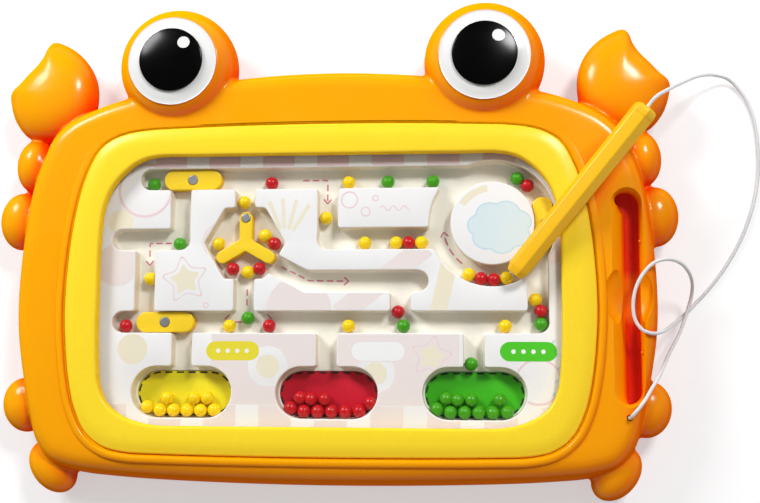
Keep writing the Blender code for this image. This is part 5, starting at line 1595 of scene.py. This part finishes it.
class MAZEBOARD_OT_gates(bpy.types.Operator):
    """Make the two sliders, the ring slider and the star rotor, with their steel slugs"""
    bl_idname = "mazeboard.gates"
    bl_label = "Gates"

    def execute(self, context):
        steps = settings()[0].curve_steps
        half = Vector(((SLIDER_LENGTH - SLIDER_WIDTH) / 2, 0.0))
        for name, row in (("upper", "top"), ("lower", "lower")):
            centre = slider_place(row)
            loop = capsule(centre - half, centre + half, SLIDER_WIDTH, steps)
            self.gate(f"{name}_gate_block", loop, centre, f"{name}_slider", f"{name}_gate")
        hub = maze_point(*RING_PLACE_SHARES)
        middle = (RING_OUTER_RADIUS + ISLAND_RADIUS) / 2
        inner, outer = middle - RING_SLIDER_WIDTH / 2, middle + RING_SLIDER_WIDTH / 2
        sweep = (RING_SLIDER_LENGTH - RING_SLIDER_WIDTH) / 2 / middle
        turn = math.radians(RING_SLIDER_ANGLE)
        loop = ring_sector(hub, inner, outer, turn - sweep, turn + sweep, steps)
        self.gate("ring_gate_block", loop, polar(hub, middle, turn), "ring_slider", "ring_gate")
        self.rotor(steps)
        dress_node("rotor_pivot_pin", material("screw_steel"))
        return {"FINISHED"}

    def gate(self, name, loop, centre, node, body, *bores):
        """One gate with a hole for its slug, and any bores of its own."""
        low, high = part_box("upper_slider")
        block = pillow_block(name, loop, low.z, high.z, GATE_ROUND)
        slug_low, slug_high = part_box(f"{node}_slug")
        radius = (slug_high.x - slug_low.x) / 2
        cut(block, prism("hole", circle(centre, radius + GAP / 2, 48), low.z - OVERRUN, high.z + OVERRUN))
        for bore in bores:
            cut(block, bore)
        dress(shade(block), body, material("gate_plastic"), "gate_yellow", node)
        slug(f"{node}_core", centre, f"{node}_slug", body)

    def rotor(self, steps):
        """The three-armed rotor, bored for its pivot pin."""
        hub = rotor_hub()
        half = ROTOR_ARM_WIDTH / 2
        loop = []
        for turn, length in ROTOR_ARMS:
            angle = math.radians(turn)
            tip = polar(hub, length, angle)
            loop += [polar(tip, half, angle + math.pi * (k / steps - 1 / 2)) for k in range(steps + 1)]
            loop.append(polar(hub, half / math.sin(math.pi / 3), angle + math.pi / 3))
        low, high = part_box("rotor_pivot_pin")
        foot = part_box("upper_slider")[0].z - OVERRUN
        bore = prism("bore", circle(hub, (high.x - low.x) / 2 + GAP, 32), foot, high.z + GAP)
        tip = hub + Vector((0.0, ROTOR_ARMS[0][1]))
        self.gate("star_block", eased(loop, 0.0004, 2), tip, "star_rotor", "rotor", bore)


def ball_places():
    """Every ball: name, middle, colour, body and the CAD node it is part of."""
    radius = ball_radius()
    spacing = BALL_SPACING_SHARE * radius
    result = []
    for node in sorted(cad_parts):
        parts = node.split("_")
        if parts[0] == "ball" and len(parts) == 3 and parts[1].isdigit():
            low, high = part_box(node)
            body = "rotor" if parts[1] in ROTOR_BALLS else f"ball_{parts[1]}"
            result.append((f"painted_ball_{parts[1]}", (low + high) / 2, parts[2], body, node))
    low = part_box("ball_trio_upper")[0]
    height = low.z + radius
    upper = [Vector((low.x + radius + k * spacing, low.y + radius)) for k in range(3)]
    low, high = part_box("ball_trio_right")
    reach = high.x - low.x - 2 * radius
    first = Vector((high.x - radius, low.y + radius))
    right = [first, first + Vector((0.0, spacing)),
             first + Vector((-reach, spacing + math.sqrt(spacing ** 2 - reach ** 2)))]
    hub = maze_point(*RING_PLACE_SHARES)
    pair = arc_places(hub, (RING_OUTER_RADIUS + ISLAND_RADIUS) / 2, RING_PAIR_ANGLE, 2, spacing)
    four = arc_places(hub, RING_OUTER_RADIUS - radius - GAP, RING_FOUR_ANGLE, 4, spacing)
    hub = rotor_hub()
    inside = CHAMBER_RADIUS - radius - GAP
    chamber_low = [polar(hub, inside, math.radians(turn)) for turn in CHAMBER_LOW_ANGLES]
    chamber_right = [hub + Vector(place) * inside for place in CHAMBER_RIGHT_SHARES]
    for numbers, places, colours, body, node in (
            ((15, 16, 17), upper, ("yellow", "red", "yellow"), "upper_trio", "ball_trio_upper"),
            ((28, 27, 26), right, ("green", "red", "yellow"), "right_trio", "ball_trio_right"),
            ((7, 6), pair, ("red", "green"), "ring_pair", "ball_pair_ring"),
            ((22, 23, 24, 25), four, ("yellow", "red", "red", "yellow"), "ring_four", "ball_four_ring"),
            ((20, 21), chamber_low, ("yellow", "red"), "rotor", "ball_pair_rotor_low"),
            ((13, 12), chamber_right, ("red", "yellow"), "rotor", "ball_pair_rotor_right")):
        for number, p, colour in zip(numbers, places, colours):
            result.append((f"painted_ball_{number:02d}", Vector((p.x, p.y, height)), colour, body, node))
    return result + heap_balls(radius, HEAP_SPACING_SHARE * radius)


def ball_radius():
    """The balls' radius, from one of them."""
    low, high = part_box("ball_02_red")
    return (high.x - low.x) / 2


def arc_places(hub, radius, middle, count, spacing):
    """Places spaced along a circle, either side of an angle in degrees."""
    step = 2 * math.asin(spacing / 2 / radius)
    first = math.radians(middle) - (count - 1) / 2 * step
    return [polar(hub, radius, first + k * step) for k in range(count)]


def heap_balls(radius, spacing):
    """The balls heaped in each pocket."""
    straight = (POCKET_WIDTH + POCKET_REACH - POCKET_DEPTH) / 2
    end_radius = POCKET_DEPTH / 2 - radius - GAP
    result = []
    for name, count, upper in HEAPS:
        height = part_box(f"ball_heap_{name}")[0].z + radius
        middle = maze_point(POCKET_COLUMN_SHARES[name], POCKET_ROW_SHARE) - Vector((POCKET_REACH / 2, 0.0))
        centres = []
        for k in range(count):
            run = (k - 5 / 2) * spacing - HEAP_SHIFT
            angle = max(abs(run) - straight - HEAP_RUN_ON, 0.0) / end_radius
            across = math.copysign(min(abs(run), straight + HEAP_RUN_ON) + end_radius * math.sin(angle), run)
            centres.append(middle + Vector((across, -end_radius * math.cos(angle))))
        for k in upper:
            pair = centres[k + 1] - centres[k]
            lift = Vector((-pair.y, pair.x)).normalized() * spacing * math.sqrt(3) / 2
            centres.append((centres[k] + centres[k + 1]) / 2 + lift)
        for k, p in enumerate(centres):
            result.append((f"heap_{name}_{k + 1}", Vector((p.x, p.y, height)), name, "case",
                           f"ball_heap_{name}"))
    return result


class MAZEBOARD_OT_balls(bpy.types.Operator):
    """Make every painted steel ball, loose in the channels and heaped in the pockets"""
    bl_idname = "mazeboard.balls"
    bl_label = "Balls"

    def execute(self, context):
        radius = ball_radius()
        heaps = {}
        for name, place, colour, body, node in ball_places():
            item = ellipsoid(name, place, (radius,) * 3, 0.0, 32, 20)
            if node.startswith("ball_heap"):
                heaps.setdefault((colour, node), []).append(item)
            else:
                dress(shade(item, 60.0), body, material(f"{colour}_lacquer"), f"ball_{colour}", node)
        for (colour, node), items in heaps.items():
            heap = merged(f"heaped_balls_{colour}", items)
            dress(shade(heap, 60.0), "case", material(f"{colour}_lacquer"), f"ball_{colour}", node)
        return {"FINISHED"}


class MAZEBOARD_OT_eyes(bpy.types.Operator):
    """Make the domed whites and the glossy pupils with their white spots"""
    bl_idname = "mazeboard.eyes"
    bl_label = "Eyes"

    def execute(self, context):
        for side, label in ((-1, "left"), (1, "right")):
            centre = eye_centre(side)
            low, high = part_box(f"{label}_eye_white")
            crown = high.z - low.z
            sphere = (((high.x - low.x) / 2) ** 2 + crown ** 2) / (2 * crown)
            middle = low.z + crown - sphere
            self.dome(label, "white", centre, middle, sphere, WHITE_ROUND)
            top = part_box(f"{label}_eye_pupil")[1].z - middle
            self.dome(label, "pupil", centre, middle, top, PUPIL_ROUND)
            self.spot(f"{label}_eye_spot", centre + Vector(EYE_SPOT_OFFSET), centre, middle, top)
        return {"FINISHED"}

    def dome(self, label, part, centre, middle, sphere, edge):
        """A cap of a sphere with its rim rounded."""
        node = f"{label}_eye_{part}"
        tone = "white" if part == "white" else "black"
        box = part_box(node)
        radius, low = (box[1].x - box[0].x) / 2, box[0].z
        rim = middle + math.sqrt(sphere ** 2 - (radius - edge) ** 2)
        drop = max(rim - edge * 0.7, low + edge / 2 + HAIR)
        profile = [(0.0, low), (radius - edge / 2, low), (radius, low + edge / 2), (radius, drop),
                   (radius - edge * 0.3, drop + (rim - drop) * 0.7)]
        for k in range(14):
            r = (radius - edge) * (1 - k / 14)
            profile.append((r, middle + math.sqrt(sphere ** 2 - r ** 2)))
        profile.append((0.0, middle + sphere))
        item = turned(f"{label}_{part}_dome", profile, centre, 96)
        dress(shade(item, 50.0), "case", material(f"{tone}_plastic"), f"eye_{tone}", node)

    def spot(self, name, place, centre, middle, sphere):
        """The white spot on a pupil, a thin patch that follows its dome."""
        rings = []
        for share, lift in ((1.0, -HAIR), (1.0, HAIR), (0.85, 2 * HAIR), (0.45, 2 * HAIR)):
            ring = []
            for p in circle(place, EYE_SPOT_RADIUS * share, 40):
                across = (p - centre).length
                ring.append(Vector((p.x, p.y, middle + math.sqrt(sphere ** 2 - across ** 2) + lift)))
            rings.append(ring)
        dress(shade(loft(name, rings), 60.0), "case", material("white_plastic"), "eye_white")


def pen_place():
    """The pen's own frame: X from tip to tail."""
    along, up = Vector(PEN_ALONG).normalized(), Vector(PEN_UP)
    up = (up - along * up.dot(along)).normalized()
    return Matrix.Translation(PEN_TIP) @ Matrix((along, up.cross(along), up)).transposed().to_4x4()


def pen_ring(along, radius):
    """A six-sided ring across the pen with its corners rounded."""
    result = []
    for k in range(6):
        before, here, after = (
            Vector((math.sin(turn), math.cos(turn))) * radius
            for turn in (math.radians(PEN_TWIST + 60.0 * (k + step)) for step in (-1, 0, 1)))
        start, end = here.lerp(before, PEN_CORNER_SHARE), here.lerp(after, PEN_CORNER_SHARE)
        for t in (j / 4 for j in range(5)):
            p = start * (1 - t) ** 2 + here * 2 * t * (1 - t) + end * t ** 2
            result.append(Vector((along, p.x, p.y)))
    return result


class MAZEBOARD_OT_pen(bpy.types.Operator):
    """Make the six-sided pen with its cap and the magnet in its nose"""
    bl_idname = "mazeboard.pen"
    bl_label = "Pen"

    def execute(self, context):
        place = pen_place()
        shoulder = PEN_LENGTH - PEN_CAP_LENGTH
        run, reach = PEN_NOSE[-1]
        sections = list(PEN_NOSE)
        for share in (k / 12 for k in range(1, 13)):
            sections.append((run + (shoulder - run - 0.0005) * share, reach + (1 - reach) * share))
        sections.append((shoulder + 0.8 * GAP, 0.995))
        barrel = loft("pen_body", [pen_ring(s, PEN_RADIUS * r) for s, r in sections])
        cap = loft("pen_tail", [pen_ring(shoulder + GAP + s, PEN_RADIUS * r) for s, r in PEN_TAIL])
        for item, node in ((barrel, "pen_barrel"), (cap, "pen_cap")):
            item.data.transform(place)
            dress(shade(item, 25.0), "pen", material("pen_plastic"), "pen_yellow", node)
        dress_node("pen_magnet", material("slug_steel"))
        return {"FINISHED"}


def tether_path():
    """The tether's centreline from its hole in the case to the pen's tail."""
    place = pen_place()
    ends = [place @ Vector((PEN_LENGTH + 2 * GAP + run, 0.0, 0.0)) for run in (TETHER_SPACING, 0.0)]
    return smooth_points([Vector(p) for p in TETHER_ROUTE] + ends, 8, closed=False)


def tube(name, path, radius, sides):
    """A round tube along a path, its rings carried along without twist."""
    rings = []
    side = Vector((1.0, 0.0, 0.0))
    for k, point in enumerate(path):
        along = (path[min(k + 1, len(path) - 1)] - path[max(k - 1, 0)]).normalized()
        side = (side - along * side.dot(along)).normalized()
        other = along.cross(side)
        rings.append([point + (side * math.cos(t) + other * math.sin(t)) * radius
                      for t in (2 * math.pi * j / sides for j in range(sides))])
    return loft(name, rings)


class MAZEBOARD_OT_tether(bpy.types.Operator):
    """Make the clear nylon tether from the case to the pen's tail"""
    bl_idname = "mazeboard.tether"
    bl_label = "Tether"

    def execute(self, context):
        path = tether_path()
        line = tube("tether_line", path, TETHER_RADIUS, 14)
        line.data.materials.append(material("nylon_line"))
        shade(line, 60.0)
        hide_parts("tether_cord")
        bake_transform(line)
        dress_node("tether_knot", material("nylon_line"))
        return {"FINISHED"}


class MAZEBOARD_OT_screws(bpy.types.Operator):
    """Make the four cross-headed screws in the back"""
    bl_idname = "mazeboard.screws"
    bl_label = "Screws"

    def execute(self, context):
        for k, place in enumerate(SCREW_PLACE_SHARES):
            low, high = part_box(f"rear_screw_{k + 1}")
            radius = (high.x - low.x) / 2
            centre = body_point(*place)
            top = low.z + SCREW_HEAD
            profile = [(0.0, low.z), (radius * 0.6, low.z), (radius * 0.9, low.z + 0.0003),
                       (radius, low.z + 0.0008), (radius, top), (SCREW_SHANK, top),
                       (SCREW_SHANK, high.z - 0.001), (0.0, high.z)]
            screw = turned(f"case_screw_{k + 1}", profile, centre, 40)
            width, depth = SCREW_CROSS
            for reach in (Vector((radius / 2, 0.0)), Vector((0.0, radius / 2))):
                arm = capsule(centre - reach, centre + reach, width, 4)
                cut(screw, prism("slot", arm, low.z - 0.001, low.z + depth))
            dress(shade(screw), "case", material("screw_steel"), "steel", f"rear_screw_{k + 1}")
        return {"FINISHED"}


def area_lamp(name, place, size, power):
    """A soft square lamp that shines at the board's middle."""
    lamp = bpy.data.lights.new(name, "AREA")
    lamp.shape = "RECTANGLE"
    lamp.size = lamp.size_y = size
    lamp.energy = power
    item = item_of(name, lamp)
    item.location = place
    item.rotation_euler = (-Vector(place)).to_track_quat("-Z", "Y").to_euler()


class MAZEBOARD_OT_stage(bpy.types.Operator):
    """Make the camera, the lamps, the white surroundings and the pale floor"""
    bl_idname = "mazeboard.stage"
    bl_label = "Stage"

    def execute(self, context):
        look = settings()[2]
        self.camera(context, look)
        self.floor()
        self.world(context, look)
        for name, (place, size, power) in LAMPS.items():
            area_lamp(name, place, size, getattr(look, power))
        context.scene.view_settings.view_transform = "Standard"
        return {"FINISHED"}

    def camera(self, context, look):
        """The camera at the photograph's place."""
        data = bpy.data.cameras.new("photo_camera")
        data.lens = look.lens
        data.sensor_width = 36.0
        data.clip_start = 0.01
        item = bpy.data.objects.new("photo_camera", data)
        context.scene.collection.objects.link(item)
        back = (Vector(look.camera_place) - Vector(look.camera_aim)).normalized()
        right = Vector((0.0, 1.0, 0.0)).cross(back).normalized()
        up = back.cross(right)
        turned_frame = Matrix((right, up, back)).transposed() @ Matrix.Rotation(look.camera_roll, 3, "Z")
        item.matrix_world = Matrix.Translation(look.camera_place) @ turned_frame.to_4x4()
        context.scene.camera = item

    def floor(self):
        """A wide pale floor with a faint mottle, bright only where it is seen."""
        square = box_outline(-FLOOR_REACH, -FLOOR_REACH, FLOOR_REACH, FLOOR_REACH)
        item = solid("pale_floor", at_height(square, 0.0), [(0, 1, 2, 3)])
        nodes = Finish("pale_floor")
        mottle = nodes.noise(2.0, 3.0)
        nodes.set(Base_Color=nodes.blend(mottle, (0.62, 0.62, 0.62), (0.64, 0.64, 0.64)), Roughness=0.9,
                  Specular_IOR_Level=0.0, Emission_Color=(1.0, 1.0, 1.0, 1.0),
                  Emission_Strength=nodes.spread(nodes.seen(), 0.0, 1.0, 0.0, FLOOR_GLOW))
        item.data.materials.append(nodes.material)

    def world(self, context, look):
        """White walls under a dim ceiling, whose light has strengths apart from their looks."""
        world = bpy.data.worlds.new("white_surroundings")
        world.use_nodes = True
        nodes = Nodes(world.node_tree)
        up = nodes.add("ShaderNodeSeparateXYZ", Vector=nodes.around).outputs["Z"]
        light, mirrored = (
            nodes.add("ShaderNodeMapRange", {"interpolation_type": "SMOOTHSTEP"}, Value=up, From_Min=WALL_TOP,
                      From_Max=CEILING_START, To_Min=wall, To_Max=ceiling).outputs["Result"]
            for wall, ceiling in ((look.wall_light, look.ceiling_light), (1.0, look.ceiling_mirror)))
        background = nodes.tree.nodes["Background"].inputs
        nodes.join(nodes.spread(nodes.seen(), 0.0, 1.0, light, mirrored), background["Strength"])
        nodes.join((1.0, 1.0, 1.0, 1.0), background["Color"])
        context.scene.world = world


class MAZEBOARD_PT_board(bpy.types.Panel):
    """Lists the board's pieces and its settings"""
    bl_idname = "MAZEBOARD_PT_board"
    bl_label = "Maze board"
    bl_space_type = "VIEW_3D"
    bl_region_type = "UI"
    bl_category = "Maze board"

    def draw(self, context):
        for operator in OPERATORS:
            self.layout.operator(operator.bl_idname)
        for group in (context.scene.board_sizes, context.scene.board_colours, context.scene.board_look):
            box = self.layout.box()
            for key in type(group).__annotations__:
                box.prop(group, key)


GROUPS = {"board_sizes": BoardSizes, "board_colours": BoardColours, "board_look": BoardLook}
OPERATORS = (
    MAZEBOARD_OT_stage, MAZEBOARD_OT_tether, MAZEBOARD_OT_case, MAZEBOARD_OT_bezel, MAZEBOARD_OT_tray,
    MAZEBOARD_OT_prints, MAZEBOARD_OT_gates, MAZEBOARD_OT_balls, MAZEBOARD_OT_eyes, MAZEBOARD_OT_pen,
    MAZEBOARD_OT_screws)


def register():
    """Add the board's classes and settings to Blender."""
    for key, group in GROUPS.items():
        bpy.utils.register_class(group)
        setattr(bpy.types.Scene, key, PointerProperty(type=group))
    for operator in OPERATORS:
        bpy.utils.register_class(operator)
    bpy.utils.register_class(MAZEBOARD_PT_board)


def unregister():
    """Take the board's classes and settings out of Blender."""
    bpy.utils.unregister_class(MAZEBOARD_PT_board)
    for operator in reversed(OPERATORS):
        bpy.utils.unregister_class(operator)
    for key, group in GROUPS.items():
        delattr(bpy.types.Scene, key)
        bpy.utils.unregister_class(group)


def main():
    """Dress the whole board."""
    register()
    for operator in OPERATORS:
        kind, name = operator.bl_idname.split(".")
        getattr(getattr(bpy.ops, kind), name)()


if __name__ == "__main__":
    main()
